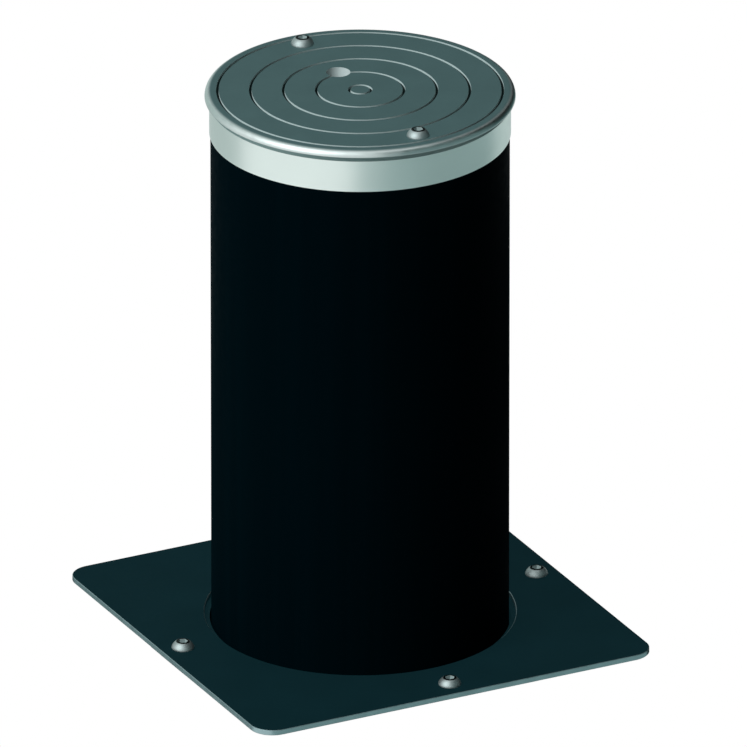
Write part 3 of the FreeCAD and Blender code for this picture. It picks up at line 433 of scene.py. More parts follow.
class Finish(Nodes):
    """A procedural material made from a Principled shader on object coordinates."""

    def __init__(self, name, metallic=0.0, specular=0.5):
        self.material = bpy.data.materials.new(name)
        super().__init__(self.material)
        self.shader = self.tree.nodes["Principled BSDF"]
        self.coords = self.node("ShaderNodeTexCoord").outputs
        self.set("Metallic", metallic)
        self.set("Specular IOR Level", specular)

    def set(self, name, value):
        """Feeds one of the shader's inputs."""
        self.feed(self.shader.inputs[name], value)

    def noise(self, scale, detail=3, stretch=(1, 1, 1)):
        """Noise on object coordinates, stretched along an axis where asked."""
        mapping = self.node("ShaderNodeMapping", Vector=self.coords["Object"], Scale=stretch)
        return self.node(
            "ShaderNodeTexNoise", Vector=mapping.outputs["Vector"], Scale=scale, Detail=detail,
            Roughness=NOISE_ROUGHNESS).outputs["Fac"]

    def spread(self, noise, low=0.0, high=1.0):
        """Spreads noise from one value to another."""
        return self.range(noise, NOISE_LOW, NOISE_HIGH, low, high)

    def rough(self, noise, low, high):
        """Lets the roughness follow noise."""
        self.set("Roughness", self.spread(noise, low, high))

    def mix(self, factor, first, second):
        """Mixes two colours, each a value or a socket."""
        made = self.node("ShaderNodeMix", Factor=factor)
        made.data_type = "RGBA"
        for place, tint in zip(MIX_COLOURS, (first, second)):
            self.feed(made.inputs[place], tint)
        return made.outputs[MIX_RESULT]

    def invert(self, value):
        """1 less a value."""
        return self.maths("SUBTRACT", 1.0, value)

    def squares(self, first, second):
        """The sum of two squares."""
        return self.maths("ADD", self.maths("POWER", first, 2), self.maths("POWER", second, 2))

    def parts(self, name):
        """X, Y and Z of the surface's place or normal."""
        return self.node("ShaderNodeSeparateXYZ", Vector=self.coords[name]).outputs

    def facing_up(self, low=0.55, high=0.95):
        """1 where the surface lies flat, 0 where it stands upright."""
        return self.range(self.maths("ABSOLUTE", self.parts("Normal")["Z"]), low, high)

    def mottled(self, tint, spread, scale):
        """A colour that drifts a little over the surface."""
        return self.mix(self.spread(self.noise(scale)), shade(tint, 1 - spread), shade(tint, 1 + spread))

    def bump(self, height, strength, distance):
        """Feeds the shader's normal from a height."""
        made = self.node("ShaderNodeBump", Height=height, Strength=strength, Distance=distance)
        self.set("Normal", made.outputs["Normal"])


def shade(tint, factor):
    """A colour made lighter or darker."""
    return tuple(min(1.0, part * factor) for part in tint)


def plate_paint(settings):
    """Satin paint over steel, with paler metal on the cut edges: painted light, lighter than the top for
    the light the edges catch.
    """
    finish = Finish("plate_paint_satin", specular=0.005)
    paint = finish.mottled(settings.top_colour, spread=0.06, scale=18)
    # Upright faces turn to paler metal that also reflects: painted light on the plate's edges
    painted_light_edge = finish.mottled(settings.painted_light_edge_colour, spread=0.08, scale=60)
    flat = finish.facing_up()
    finish.set("Base Color", finish.mix(flat, painted_light_edge, paint))
    finish.set("Metallic", finish.invert(flat))
    grain = finish.spread(finish.noise(240, detail=2), 0.48, 0.62)
    finish.set("Roughness", finish.maths("MULTIPLY", grain, finish.range(flat, 0, 1, 0.6, 1)))
    finish.bump(finish.noise(900, detail=2), strength=0.08, distance=0.2 * MM)
    return finish.material


def post_paint(settings):
    """Deep black paint with a fine orange-peel skin and faint upright rubbing marks."""
    finish = Finish("post_paint_black", specular=0.002)
    finish.set("Specular Tint", settings.post_sheen)
    rubbed = finish.range(finish.noise(70, detail=3, stretch=(1, 1, 0.02)), 0.45, 0.75)
    black = settings.post_colour
    finish.set("Base Color", finish.mix(rubbed, shade(black, 0.92), shade(black, 1.12)))
    finish.rough(finish.noise(120, detail=2), 0.45, 0.6)
    finish.bump(finish.noise(600, detail=2), strength=0.05, distance=0.2 * MM)
    return finish.material


def head_metal(settings):
    """Turned metal: matt grey-green on top, polished on the lip, with painted light on the cut walls and
    painted shade in the groove floors and under the lip.
    """
    finish = Finish("head_metal_turned", specular=0.03)
    place = finish.parts("Object")
    flat = finish.facing_up(0.8, 0.995)
    # Faces that look down under the lip lose their polish and take a darker colour: painted shade under the
    # lip
    under = finish.range(finish.parts("Normal")["Z"], -0.3, -0.5)
    polish = finish.mottled(settings.lip_colour, spread=0.03, scale=50)
    lip = finish.mix(under, polish, settings.under_shade_colour)
    lip_inside = settings.lip_radius - 1.5 * settings.lip_edge
    outside = finish.maths("GREATER_THAN", finish.squares(place["X"], place["Y"]), lip_inside ** 2)
    from_key = finish.squares(place["X"], finish.maths("SUBTRACT", place["Y"], settings.key_offset))
    in_key = finish.maths("LESS_THAN", from_key, (settings.key_radius + settings.edge) ** 2)
    # Upright walls, painted lighter than the flat top for the light they catch; the key hole is painted
    # lighter still
    walls = finish.mix(in_key, finish.mix(outside, settings.painted_light_wall_colour, lip), settings.painted_light_key_colour)
    # Deeper than half a groove, the top turns near black: painted shade in the groove floors
    sunk = finish.maths("LESS_THAN", place["Z"], HEAD_HIGH.z - settings.groove_depth / 2)
    matt = finish.mottled(settings.top_colour, spread=0.04, scale=30)
    top = finish.mix(sunk, matt, settings.groove_shade_colour)
    # Flat faces get the matt top with its painted groove shade, upright faces the walls painted lighter
    finish.set("Base Color", finish.mix(flat, walls, top))
    polished = finish.maths("MULTIPLY", outside, finish.invert(flat))
    finish.set("Metallic", finish.maths("MULTIPLY", polished, finish.invert(under)))
    finish.rough(finish.noise(160, detail=2), 0.30, 0.40)
    rings = finish.node("ShaderNodeTexWave", Vector=finish.coords["Object"], Scale=420, Distortion=0.6)
    rings.wave_type = "RINGS"
    rings.rings_direction = "Z"
    finish.bump(rings.outputs["Fac"], strength=0.04, distance=0.1 * MM)
    return finish.material


def bright_steel(name, tint):
    """Stainless steel with a fine grain drawn round it."""
    finish = Finish(name, metallic=1.0)
    finish.set("Base Color", finish.mottled(tint, spread=0.02, scale=14))
    lines = finish.noise(60, detail=3, stretch=(1, 1, 30))
    finish.rough(lines, 0.29, 0.37)
    finish.bump(lines, strength=0.01, distance=0.05 * MM)
    return finish.material


def screw_steel(settings):
    """Satin stainless steel, with painted shade turning the flat of the dome near black."""
    finish = Finish("screw_steel_satin", metallic=0.9)
    dome = finish.mottled(settings.steel_colour, spread=0.04, scale=300)
    # The up-facing flat of the dome turns near black: painted shade
    finish.set("Base Color", finish.mix(finish.facing_up(0.82, 0.89), dome, settings.flat_shade_colour))
    finish.rough(finish.noise(900, detail=2), 0.44, 0.52)
    finish.bump(finish.noise(1500, detail=2), strength=0.04, distance=0.05 * MM)
    return finish.material


def socket_steel(settings):
    """Brighter steel of the pressed socket."""
    finish = Finish("screw_socket_steel", specular=0.3)
    finish.set("Base Color", finish.mottled(settings.socket_colour, spread=0.06, scale=400))
    finish.set("Roughness", 0.5)
    finish.bump(finish.noise(1200, detail=2), strength=0.05, distance=0.05 * MM)
    return finish.material


def spangle(finish, scale, share):
    """A grey for each zinc crystal, times its share in the whole."""
    cells = finish.node("ShaderNodeTexVoronoi", Vector=finish.coords["Object"], Scale=scale)
    grey = finish.node("ShaderNodeSeparateColor", Color=cells.outputs["Color"]).outputs["Red"]
    return finish.maths("MULTIPLY", grey, share)


def galvanised_steel(settings):
    """Hot-dip zinc: crystal spangles, dull patches and faint runs."""
    finish = Finish("galvanised_spangle", metallic=0.75)
    large = spangle(finish, scale=70, share=0.6)
    small = spangle(finish, scale=230, share=0.4)
    crystals = finish.maths("ADD", large, small)
    zinc = settings.galvanised_colour
    grain = finish.mix(finish.range(crystals, 0.1, 0.9), shade(zinc, 0.74), shade(zinc, 1.2))
    dull = finish.range(finish.noise(9, detail=4, stretch=(1, 1, 0.35)), 0.35, 0.7)
    finish.set("Base Color", finish.mix(dull, grain, shade(zinc, 0.84)))
    finish.set("Roughness", finish.range(crystals, 0, 1, 0.42, 0.54))
    finish.bump(finish.noise(60, detail=3), strength=0.06, distance=0.5 * MM)
    return finish.material


def zinc_plate(settings):
    """Bright zinc plating with a faint cloudy sheen."""
    finish = Finish("zinc_plate_bright", metallic=0.85)
    cloudy = finish.spread(finish.noise(45, detail=4))
    zinc = settings.zinc_colour
    finish.set("Base Color", finish.mix(cloudy, shade(zinc, 0.86), zinc))
    finish.rough(finish.noise(220, detail=2), 0.28, 0.44)
    finish.bump(finish.noise(500, detail=2), strength=0.05, distance=0.1 * MM)
    return finish.material


def plain_coat(name, tint, roughness, specular, scale, depth):
    """A moulded or coated surface with a small grain, and with larger noise for its gloss and colour."""
    finish = Finish(name, specular=specular)
    finish.set("Base Color", finish.mottled(tint, spread=0.1, scale=scale / 12))
    finish.rough(finish.noise(scale / 3, detail=2), roughness - 0.07, roughness + 0.07)
    finish.bump(finish.noise(scale, detail=2), strength=0.15, distance=depth)
    return finish.material


def turned_bronze(settings):
    """Bronze with the fine rings of the lathe."""
    finish = Finish("bronze_turned", metallic=0.95)
    finish.set("Base Color", finish.mottled(settings.bronze_colour, spread=0.1, scale=60))
    lines = finish.noise(220, detail=2, stretch=(0.2, 0.2, 8))
    finish.rough(lines, 0.25, 0.42)
    finish.bump(lines, strength=0.06, distance=0.1 * MM)
    return finish.material


class BOLLARD_OT_head(bpy.types.Operator):
    """Turns the grooved head and drills it for the key and the two screws"""

    bl_idname = "bollard.head"
    bl_label = "Turned head"

    def execute(self, context):
        sizes = context.scene.bollard_head
        top = HEAD_HIGH.z
        seat = top - sizes.lip_height
        spigot = TUBE_RADIUS - sizes.tube_wall - sizes.fit
        hollow = spigot - sizes.spigot_wall
        profile = [(0, top)]
        for index in range(sizes.groove_count):
            middle = sizes.groove_first + index * sizes.groove_pitch
            inner = middle - sizes.groove_width / 2
            outer = middle + sizes.groove_width / 2
            floor = top - sizes.groove_depth
            profile += [(inner, top), (inner, floor), (outer, floor), (outer, top)]
        lip_centre = (sizes.lip_radius - sizes.lip_edge, top - sizes.lip_edge)
        profile += arc(lip_centre, sizes.lip_edge, 90, 0, CORNER_STEPS)
        profile += [
            (sizes.seat_radius, seat),
            (spigot, seat),
            (spigot, HEAD_LOW.z),
            (hollow, HEAD_LOW.z),
            (hollow, seat),
            (0, seat),
        ]
        shape = bmesh.new()
        turn_profile(shape, profile, HEAD_STEPS)
        round_edges(shape, sizes.edge)
        head = make_piece("head_cap_turned", shape, head_metal(sizes))
        drill(head, (0, sizes.key_offset), sizes.key_radius, sizes.edge, top, seat)
        for side in (-1, 1):
            drill(head, (0, side * sizes.screw_circle), sizes.screw_hole, sizes.edge, top, HEAD_LOW.z)
        place_piece(head, "post", "head_metal", "head_cap")
        return {"FINISHED"}


class BOLLARD_OT_band(bpy.types.Operator):
    """Rolls the bright band under the head, with its edges eased"""

    bl_idname = "bollard.band"
    bl_label = "Head band"

    def execute(self, context):
        settings = context.scene.bollard_head
        inner = TUBE_RADIUS + settings.fit
        shape = bmesh.new()
        turn_profile(shape, [
            (inner, BAND_LOW.z),
            (BAND_HIGH.x, BAND_LOW.z),
            (BAND_HIGH.x, BAND_HIGH.z),
            (inner, BAND_HIGH.z),
        ], HEAD_STEPS, closed=True)
        round_edges(shape, settings.edge)
        band = make_piece("head_band_rolled", shape, bright_steel("band_satin", settings.band_colour))
        place_piece(band, "post", "bright_steel", "head_band")
        return {"FINISHED"}


def only_edges(items):
    """The edges among a list of verts, edges and faces."""
    return [item for item in items if isinstance(item, bmesh.types.BMEdge)]


def add_thread(shape, sizes, low):
    """A thread round the axis, upwards from a height: a cam-shaped section carried up a helix."""
    crest = sizes.diameter / 2
    depth = THREAD_DEPTH * sizes.pitch
    turns = int(sizes.thread_length / sizes.pitch)
    section = []
    for index in range(THREAD_CORNERS):
        angle = TURN * index / THREAD_CORNERS
        radius = crest - depth * abs(1 - 2 * index / THREAD_CORNERS)
        section.append((radius * math.cos(angle), radius * math.sin(angle), low))
    first = add_chain(shape, section, True)
    last = sweep(shape, first, TURN * turns, THREAD_STEPS * turns, rise=sizes.pitch / THREAD_STEPS)
    for end in (first, last):
        bmesh.ops.edgeloop_fill(shape, edges=only_edges(end))


def extrude_rim(shape, rim):
    """Extrudes a rim of edges in place: gives its new verts, edges and faces."""
    made = bmesh.ops.extrude_edge_only(shape, edges=rim)["geom"]
    verts = [item for item in made if isinstance(item, bmesh.types.BMVert)]
    faces = [item for item in made if isinstance(item, bmesh.types.BMFace)]
    return verts, [edge for edge in only_edges(made) if edge.is_boundary], faces


def sink_socket(shape, half_width, top, floor, cone):
    """Closes the open rim at the top of a screw with a six-sided socket that ends in a cone."""
    rim = [edge for edge in shape.edges if edge.is_boundary]
    verts, mouth, _ = extrude_rim(shape, rim)
    for vert in verts:
        angle = math.atan2(vert.co.y, vert.co.x)
        from_flat = (angle + TURN) % (TURN / 6) - TURN / 12
        reach = half_width / math.cos(from_flat)
        vert.co = (reach * math.cos(angle), reach * math.sin(angle), top)
    verts, foot, walls = extrude_rim(shape, mouth)
    bmesh.ops.translate(shape, verts=verts, vec=(0, 0, floor - top))
    verts, _, bottom = extrude_rim(shape, foot)
    bmesh.ops.pointmerge(shape, verts=verts, merge_co=(0, 0, floor - cone))
    for face in walls + bottom:
        if face.is_valid:
            face.material_index = 1


def dome_arc(start, end, radius):
    """An arc of a profile from one point to another, bulging away from the axis."""
    half = (end - start) / 2
    inward = Vector((half.y, -half.x)).normalized()
    if inward.x > 0:
        inward = -inward
    centre = (start + end) / 2 + inward * math.sqrt(radius ** 2 - half.length_squared)
    first, last = (math.degrees(math.atan2(*(point - centre).yx)) for point in (start, end))
    return arc(centre, radius, first, last, CORNER_STEPS)


def screw_shape(sizes, seat, tip):
    """One dome-headed socket screw on the axis, its head seated at a height."""
    top = seat + sizes.head_height
    brim = sizes.head_diameter / 2
    shank = sizes.diameter / 2
    neck = tip + sizes.thread_length
    profile = [
        (0, neck - sizes.neck),
        (shank - sizes.neck, neck - sizes.neck),
        (shank, neck),
        (shank, seat),
        (brim, seat),
    ]
    dome_foot = Vector((brim, seat + sizes.head_rim))
    dome_top = Vector((sizes.head_flat / 2, top))
    profile += dome_arc(dome_foot, dome_top, sizes.dome_radius)
    shape = bmesh.new()
    turn_profile(shape, profile, SCREW_STEPS)
    sink_socket(shape, sizes.socket / 2, top, top - sizes.socket_depth, sizes.socket_cone)
    add_thread(shape, sizes, tip)
    merge_and_face(shape)
    return shape


def screw_set(name, sizes, seat, tip, places):
    """One object with a screw at each place."""
    joined = bmesh.new()
    for index, place in enumerate(places):
        one = screw_shape(sizes, seat, tip)
        turn = Matrix.Rotation(sizes.socket_turn * index, 3, "Z")
        bmesh.ops.rotate(one, verts=one.verts[:], cent=(0, 0, 0), matrix=turn)
        bmesh.ops.translate(one, verts=one.verts[:], vec=(place[0], place[1], 0))
        join(joined, one)
    return make_piece(name, joined, screw_steel(sizes), socket_steel(sizes))


def cover_screw_places(sizes):
    """Where the four cover screws stand."""
    reach = sizes.cover_circle
    return [(reach, 0), (0, reach), (-reach, 0), (0, -reach)]


class BOLLARD_OT_cover_screws(bpy.types.Operator):
    """Makes the four dome screws that hold the cover plate"""

    bl_idname = "bollard.cover_screws"
    bl_label = "Cover screws"

    def execute(self, context):
        sizes = context.scene.bollard_screws
        screws = screw_set(
            "cover_screws_domed", sizes, PLATE_HIGH.z, COVER_SCREW_TIP, cover_screw_places(sizes))
        place_piece(screws, "casing", "bright_steel", "cover_screws")
        return {"FINISHED"}


class BOLLARD_OT_head_screws(bpy.types.Operator):
    """Makes the two dome screws that hold the head"""

    bl_idname = "bollard.head_screws"
    bl_label = "Head screws"

    def execute(self, context):
        sizes = context.scene.bollard_screws
        reach = context.scene.bollard_head.screw_circle
        places = [(0, reach), (0, -reach)]
        screws = screw_set("head_screws_domed", sizes, HEAD_HIGH.z, HEAD_SCREW_TIP, places)
        place_piece(screws, "post", "bright_steel", "head_screws")
        return {"FINISHED"}


def rounded_square(shape, half_width, corner, height):
    """A square loop with rounded corners."""
    grid = bmesh.ops.create_grid(shape, x_segments=1, y_segments=1, size=half_width)["verts"]
    bmesh.ops.translate(shape, verts=grid, vec=(0, 0, height))
    before = set(shape.faces) - {face for vert in grid for face in vert.link_faces}
    bmesh.ops.bevel(
        shape, geom=grid, offset=corner, offset_type="OFFSET", segments=CORNER_STEPS, profile=0.5,
        affect="VERTICES", clamp_overlap=False, material=-1)
    face = next(iter(set(shape.faces) - before))
    edges = list(face.edges)
    bmesh.ops.delete(shape, geom=[face], context="FACES_ONLY")
    return edges


def circle_loop(shape, place, radius, height, segments):
    """A circular loop of edges."""
    verts = bmesh.ops.create_circle(shape, cap_ends=False, segments=segments, radius=radius)["verts"]
    bmesh.ops.translate(shape, verts=verts, vec=(place[0], place[1], height))
    return list({edge for vert in verts for edge in vert.link_edges})


class BOLLARD_OT_cover_plate(bpy.types.Operator):
    """Cuts the cover plate with eased edges and four screw holes, and paints it and the guide flange"""

    bl_idname = "bollard.cover_plate"
    bl_label = "Cover plate"

    def execute(self, context):
        sizes = context.scene.bollard_plate
        low, high, eased = PLATE_LOW.z, PLATE_HIGH.z, sizes.edge
        half, corner = sizes.half_width, sizes.corner
        levels = [(low, eased), (low + eased, 0), (high - eased, 0), (high, eased)]
        shape = bmesh.new()
        rings = [
            [rounded_square(shape, half - inset, corner - inset, z) for z, inset in levels],
            [circle_loop(shape, (0, 0), sizes.bore + inset, z, BORE_STEPS) for z, inset in levels],
        ]
        for place in cover_screw_places(context.scene.bollard_screws):
            rings.append([
                circle_loop(shape, place, sizes.screw_hole + inset, z, HOLE_STEPS) for z, inset in levels])
        for ring in rings:
            for lower, upper in zip(ring, ring[1:]):
                bmesh.ops.bridge_loops(shape, edges=lower + upper)
        for end in (0, -1):
            outline = [edge for ring in rings for edge in ring[end]]
            bmesh.ops.triangle_fill(shape, use_beauty=True, edges=outline)
        merge_and_face(shape)
        plate = make_piece("cover_plate_cut", shape, plate_paint(sizes))
        place_piece(plate, "casing", "plate_paint", "cover_plate")
        paint = plain_coat(
            "guide_paint_satin", sizes.top_colour, roughness=0.55, specular=0.02, scale=900, depth=0.2 * MM)
        finish_nodes(paint, "guide_flange")
        return {"FINISHED"}


class BOLLARD_OT_post(bpy.types.Operator):
    """Paints the tube of the post"""

    bl_idname = "bollard.post"
    bl_label = "Post"

    def execute(self, context):
        finish_nodes(post_paint(context.scene.bollard_body), "bollard_tube")
        return {"FINISHED"}


class BOLLARD_OT_casing(bpy.types.Operator):
    """Finishes the galvanised steel of the casing and the post, the rubber and the nylon"""

    bl_idname = "bollard.casing"
    bl_label = "Casing"

    def execute(self, context):
        settings = context.scene.bollard_body
        finish_nodes(
            galvanised_steel(settings), "casing_rim", "casing_shell", "casing_base", "anchor_claws",
            "latch_rail", "guide_rail", "gas_spring_bracket", "retaining_ring", "foot_plate",
            "carrier_plate", "head_lugs", "latch_housing")
        rubber = plain_coat(
            "rubber_black", settings.rubber_colour, roughness=0.7, specular=0.3, scale=700, depth=0.2 * MM)
        finish_nodes(rubber, "wiper_seal", "stop_ring", "base_buffers")
        nylon = plain_coat(
            "nylon_natural", settings.nylon_colour, roughness=0.45, specular=0.4, scale=400, depth=0.1 * MM)
        finish_nodes(nylon, "guide_bush")
        return {"FINISHED"}


class BOLLARD_OT_works(bpy.types.Operator):
    """Finishes the gas spring, the lock and the latch"""

    bl_idname = "bollard.works"
    bl_label = "Gas spring and lock"

    def execute(self, context):
        settings = context.scene.bollard_body
        finish_nodes(
            zinc_plate(settings), "weld_nuts", "retaining_screws", "gas_spring_pin", "gas_spring_gland",
            "gas_spring_piston", "rod_nuts", "housing_screws", "spindle_collar", "crank", "latch_bolt")
        gloss = plain_coat(
            "spring_gloss", settings.spring_colour, roughness=0.22, specular=0.5, scale=300,
            depth=0.05 * MM)
        finish_nodes(gloss, "gas_spring_cylinder")
        rod = bright_steel("rod_steel", context.scene.bollard_screws.steel_colour)
        finish_nodes(rod, "gas_spring_rod", "lock_spindle")
        finish_nodes(turned_bronze(settings), "upper_bush", "lower_bush")
        return {"FINISHED"}


def add_bead(shape, bead, ripple, root, along):
    """Swells a weld bead away from its root in even ripples along its run, and adds it to the welds."""
    for vert in bead.verts:
        place = root(vert.co)
        swell = 1 - RIPPLE_LOSS + RIPPLE_LOSS * abs(math.sin(math.pi * along(vert.co) / ripple))
        vert.co = place + (vert.co - place) * swell
    merge_and_face(bead)
    join(shape, bead)


def ring_bead(shape, height, leg, ripple, upward):
    """A rippled fillet weld round the casing, above or below a level."""
    bead = bmesh.new()
    back = SHELL_RADIUS - FILLET_LAP
    sunk = height - upward * FILLET_LAP
    points = [(back, sunk), (SHELL_RADIUS + leg, sunk)]
    points += arc((SHELL_RADIUS, height), leg, 0, 90 * upward, FILLET_STEPS)
    points.append((back, height + upward * leg))
    count = int(TURN * SHELL_RADIUS / ripple)
    turn_profile(bead, points, count * RIPPLE_CUTS, closed=True)

    def root(co):
        flat = Vector((co.x, co.y, 0)).normalized() * SHELL_RADIUS
        return Vector((flat.x, flat.y, height))

    def along(co):
        return math.atan2(co.y, co.x) / TURN * count * ripple

    add_bead(shape, bead, ripple, root, along)


def upright_bead(shape, place, low, high, radius, ripple):
    """A rippled weld bead that runs straight up the casing."""
    bead = bmesh.new()
    bmesh.ops.create_cone(
        bead, cap_ends=True, segments=BEAD_SIDES, radius1=radius, radius2=radius, depth=high - low)
    rails = [edge for edge in bead.edges if edge.verts[0].co.z * edge.verts[1].co.z < 0]
    cuts = RIPPLE_CUTS * int((high - low) / ripple) - 1
    bmesh.ops.subdivide_edges(bead, edges=rails, cuts=cuts, use_grid_fill=True)
    bmesh.ops.translate(bead, verts=bead.verts[:], vec=(place.x, place.y, (low + high) / 2))

    def root(co):
        return Vector((place.x, place.y, co.z))

    def along(co):
        return co.z

    add_bead(shape, bead, ripple, root, along)


class BOLLARD_OT_welds(bpy.types.Operator):
    """Lays the weld beads of the casing: round its rim and base, up its seam and beside its claws"""

    bl_idname = "bollard.welds"
    bl_label = "Casing welds"

    def execute(self, context):
        settings = context.scene.bollard_body
        leg = settings.bead_leg
        ripple = settings.bead_ripple
        shape = bmesh.new()
        ring_bead(shape, RIM_FOOT, leg, ripple, -1)
        ring_bead(shape, BASE_TOP, leg, ripple, 1)
        seam = Vector((SHELL_RADIUS - settings.seam_radius / 2, 0, 0))
        seam.rotate(Matrix.Rotation(settings.seam_place, 3, "Z"))
        upright_bead(shape, seam, BASE_TOP, RIM_FOOT, settings.seam_radius, ripple)
        low = CLAW_LOW.z + settings.claw_foot
        high = CLAW_HIGH.z - settings.claw_head
        for eighth in (1, 3, 5, 7):
            for side in (-1, 1):
                place = Vector((SHELL_RADIUS, side * (settings.claw_width + leg / 2) / 2, 0))
                place.rotate(Matrix.Rotation(eighth * TURN / 8, 3, "Z"))
                upright_bead(shape, place, low, high, leg / 2, ripple)
        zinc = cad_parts["casing_shell"].material_slots[0].material
        welds = make_piece("casing_welds", shape, zinc)
        place_piece(welds, "casing", "galvanised")
        return {"FINISHED"}


def floor_material(settings):
    """Pale floor that the camera sees as white towards its rim, with a soft shadow left on it."""
    radius = settings.floor_radius
    material = bpy.data.materials.new("floor_white")
    nodes = Nodes(material)
    nodes.tree.nodes.clear()
    matt = nodes.node("ShaderNodeBsdfDiffuse", Color=settings.floor_colour)
    glow = nodes.node("ShaderNodeEmission", Color=WHITE)
    coords = nodes.node("ShaderNodeTexCoord")
    level = nodes.node("ShaderNodeVectorMath", coords.outputs["Object"], (1, 1, 0))
    level.operation = "MULTIPLY"
    reach = nodes.node("ShaderNodeVectorMath", level.outputs["Vector"])
    reach.operation = "LENGTH"
    fade = nodes.node(
        "ShaderNodeMapRange", Value=reach.outputs["Value"], From_Min=settings.fade_start * radius,
        From_Max=settings.fade_end * radius, To_Min=settings.floor_glow)
    fade.interpolation_type = "SMOOTHSTEP"
    share = nodes.maths("MULTIPLY", nodes.backdrop_rays(), fade.outputs["Result"])
    mixed = nodes.node("ShaderNodeMixShader", share, matt.outputs["BSDF"], glow.outputs["Emission"])
    nodes.node("ShaderNodeOutputMaterial", Surface=mixed.outputs["Shader"])
    return material


def glow_material(name, tint):
    """Plain light of one colour, for the cards of the stage."""
    material = bpy.data.materials.new(name)
    nodes = Nodes(material)
    nodes.tree.nodes.clear()
    glow = nodes.node("ShaderNodeEmission", Color=tint)
    nodes.node("ShaderNodeOutputMaterial", Surface=glow.outputs["Emission"])
    return material


def studio_world(settings):
    """White where the camera and gloss look, softer light on the object."""
    world = bpy.data.worlds.new("studio")
    bpy.context.scene.world = world
    nodes = Nodes(world)
    nodes.tree.nodes.clear()
    soft = nodes.node("ShaderNodeBackground", Color=WHITE, Strength=settings.ambient)
    plain = nodes.node("ShaderNodeBackground", Color=WHITE)
    mixed = nodes.node(
        "ShaderNodeMixShader", nodes.backdrop_rays(), soft.outputs["Background"],
        plain.outputs["Background"])
    nodes.node("ShaderNodeOutputWorld", Surface=mixed.outputs["Shader"])


def outward(azimuth, elevation):
    """The direction from the object that lies at an angle round it and a height above the horizon."""
    return Vector((
        math.sin(azimuth) * math.cos(elevation),
        -math.cos(azimuth) * math.cos(elevation),
        math.sin(elevation),
    ))


def looking_back(away):
    """The turn of a lamp or camera that looks back along a direction."""
    return (-away).to_track_quat("-Z", "Y")


def put(holder, place, turn):
    """Puts a lamp or camera in its place."""
    holder.location = place
    holder.rotation_mode = "QUATERNION"
    holder.rotation_quaternion = turn


# The point that the lamps are aimed at, about halfway up the post
LAMP_AIM = Vector((0, 0, 0.25))

# Where the lamps hang: degrees round the object and above the horizon, distance, width
KEY_PLACE = (-77, 40, 8.0, 5.4)
BACK_PLACE = (140, 30, 2.4, 1.8)

# Lamps in the key light's place: share of its power, whether it casts shadows, whether gloss shows it
KEY_LAMPS = (
    ("key_lamp", 0.12, True, True),
    ("key_fill_lamp", 0.48, False, True),
    ("key_soft_lamp", 0.40, False, False),
)

# Cards round the object that gloss shows: radius, start and end in degrees from the camera's direction,
# low and high edge, brightness
CARD_STEPS = 24
REFLECTORS = (
    ("card_dim_right", 1.4, 16, 102, 0.15, 1.2, (0.16, 0.25, 0.25)),
    ("card_dim_high", 1.4, 16, 102, 1.2, 3.2, (0.08, 0.13, 0.13)),
    ("card_dusk_back", 1.4, 102, 150, 0.15, 0.58, (0.04, 0.10, 0.10)),
    ("card_dark_high", 1.4, 102, 150, 0.58, 3.2, (0.001, 0.004, 0.004)),
    ("card_dark_back", 1.4, 150, 190, 0.15, 3.2, (0.001, 0.004, 0.004)),
    ("card_pale_high", 1.4, 190, 250, 0.15, 2.4, (0.56, 0.65, 0.63)),
    ("card_grey_right", 1.4, -4, 118, -1.4, 0.15, (0.39, 0.49, 0.49)),
    ("card_bright_back", 1.4, 118, 165, -0.32, 0.15, (0.68, 0.76, 0.75)),
    ("card_pale_back", 1.4, 165, 262, -0.32, 0.15, (0.53, 0.59, 0.58)),
    ("card_dark_low", 1.4, 118, 225, -1.4, -0.32, (0.002, 0.004, 0.004)),
    ("card_pale_low", 1.4, 225, 262, -1.4, -0.32, (0.28, 0.34, 0.34)),
    ("card_dark_plate", 0.6, 45, 175, 0.004, 0.2, (0.003, 0.010, 0.010)),
)


def area_light(name, place, power):
    """A square lamp aimed at the post."""
    azimuth, elevation, distance, width = place
    lamp = bpy.data.lights.new(name, "AREA")
    lamp.size = width
    lamp.energy = power
    away = outward(math.radians(azimuth), math.radians(elevation))
    holder = add_object(name, lamp)
    put(holder, LAMP_AIM + away * distance, looking_back(away))
    return holder


def reflector(name, radius, start, end, low, high, tint):
    """A curved card that only gloss sees: part of a wall round the object, dark or grey."""
    shape = bmesh.new()
    begin = Matrix.Rotation(start, 3, "Z") @ Vector((0, -radius, 0))
    chain = add_chain(shape, [begin + low * UP, begin + high * UP], False)
    sweep(shape, chain, end - start, CARD_STEPS)
    card = make_piece(name, shape, glow_material(name, tint))
    card.visible_camera = False
    card.visible_diffuse = False
    card.visible_shadow = False


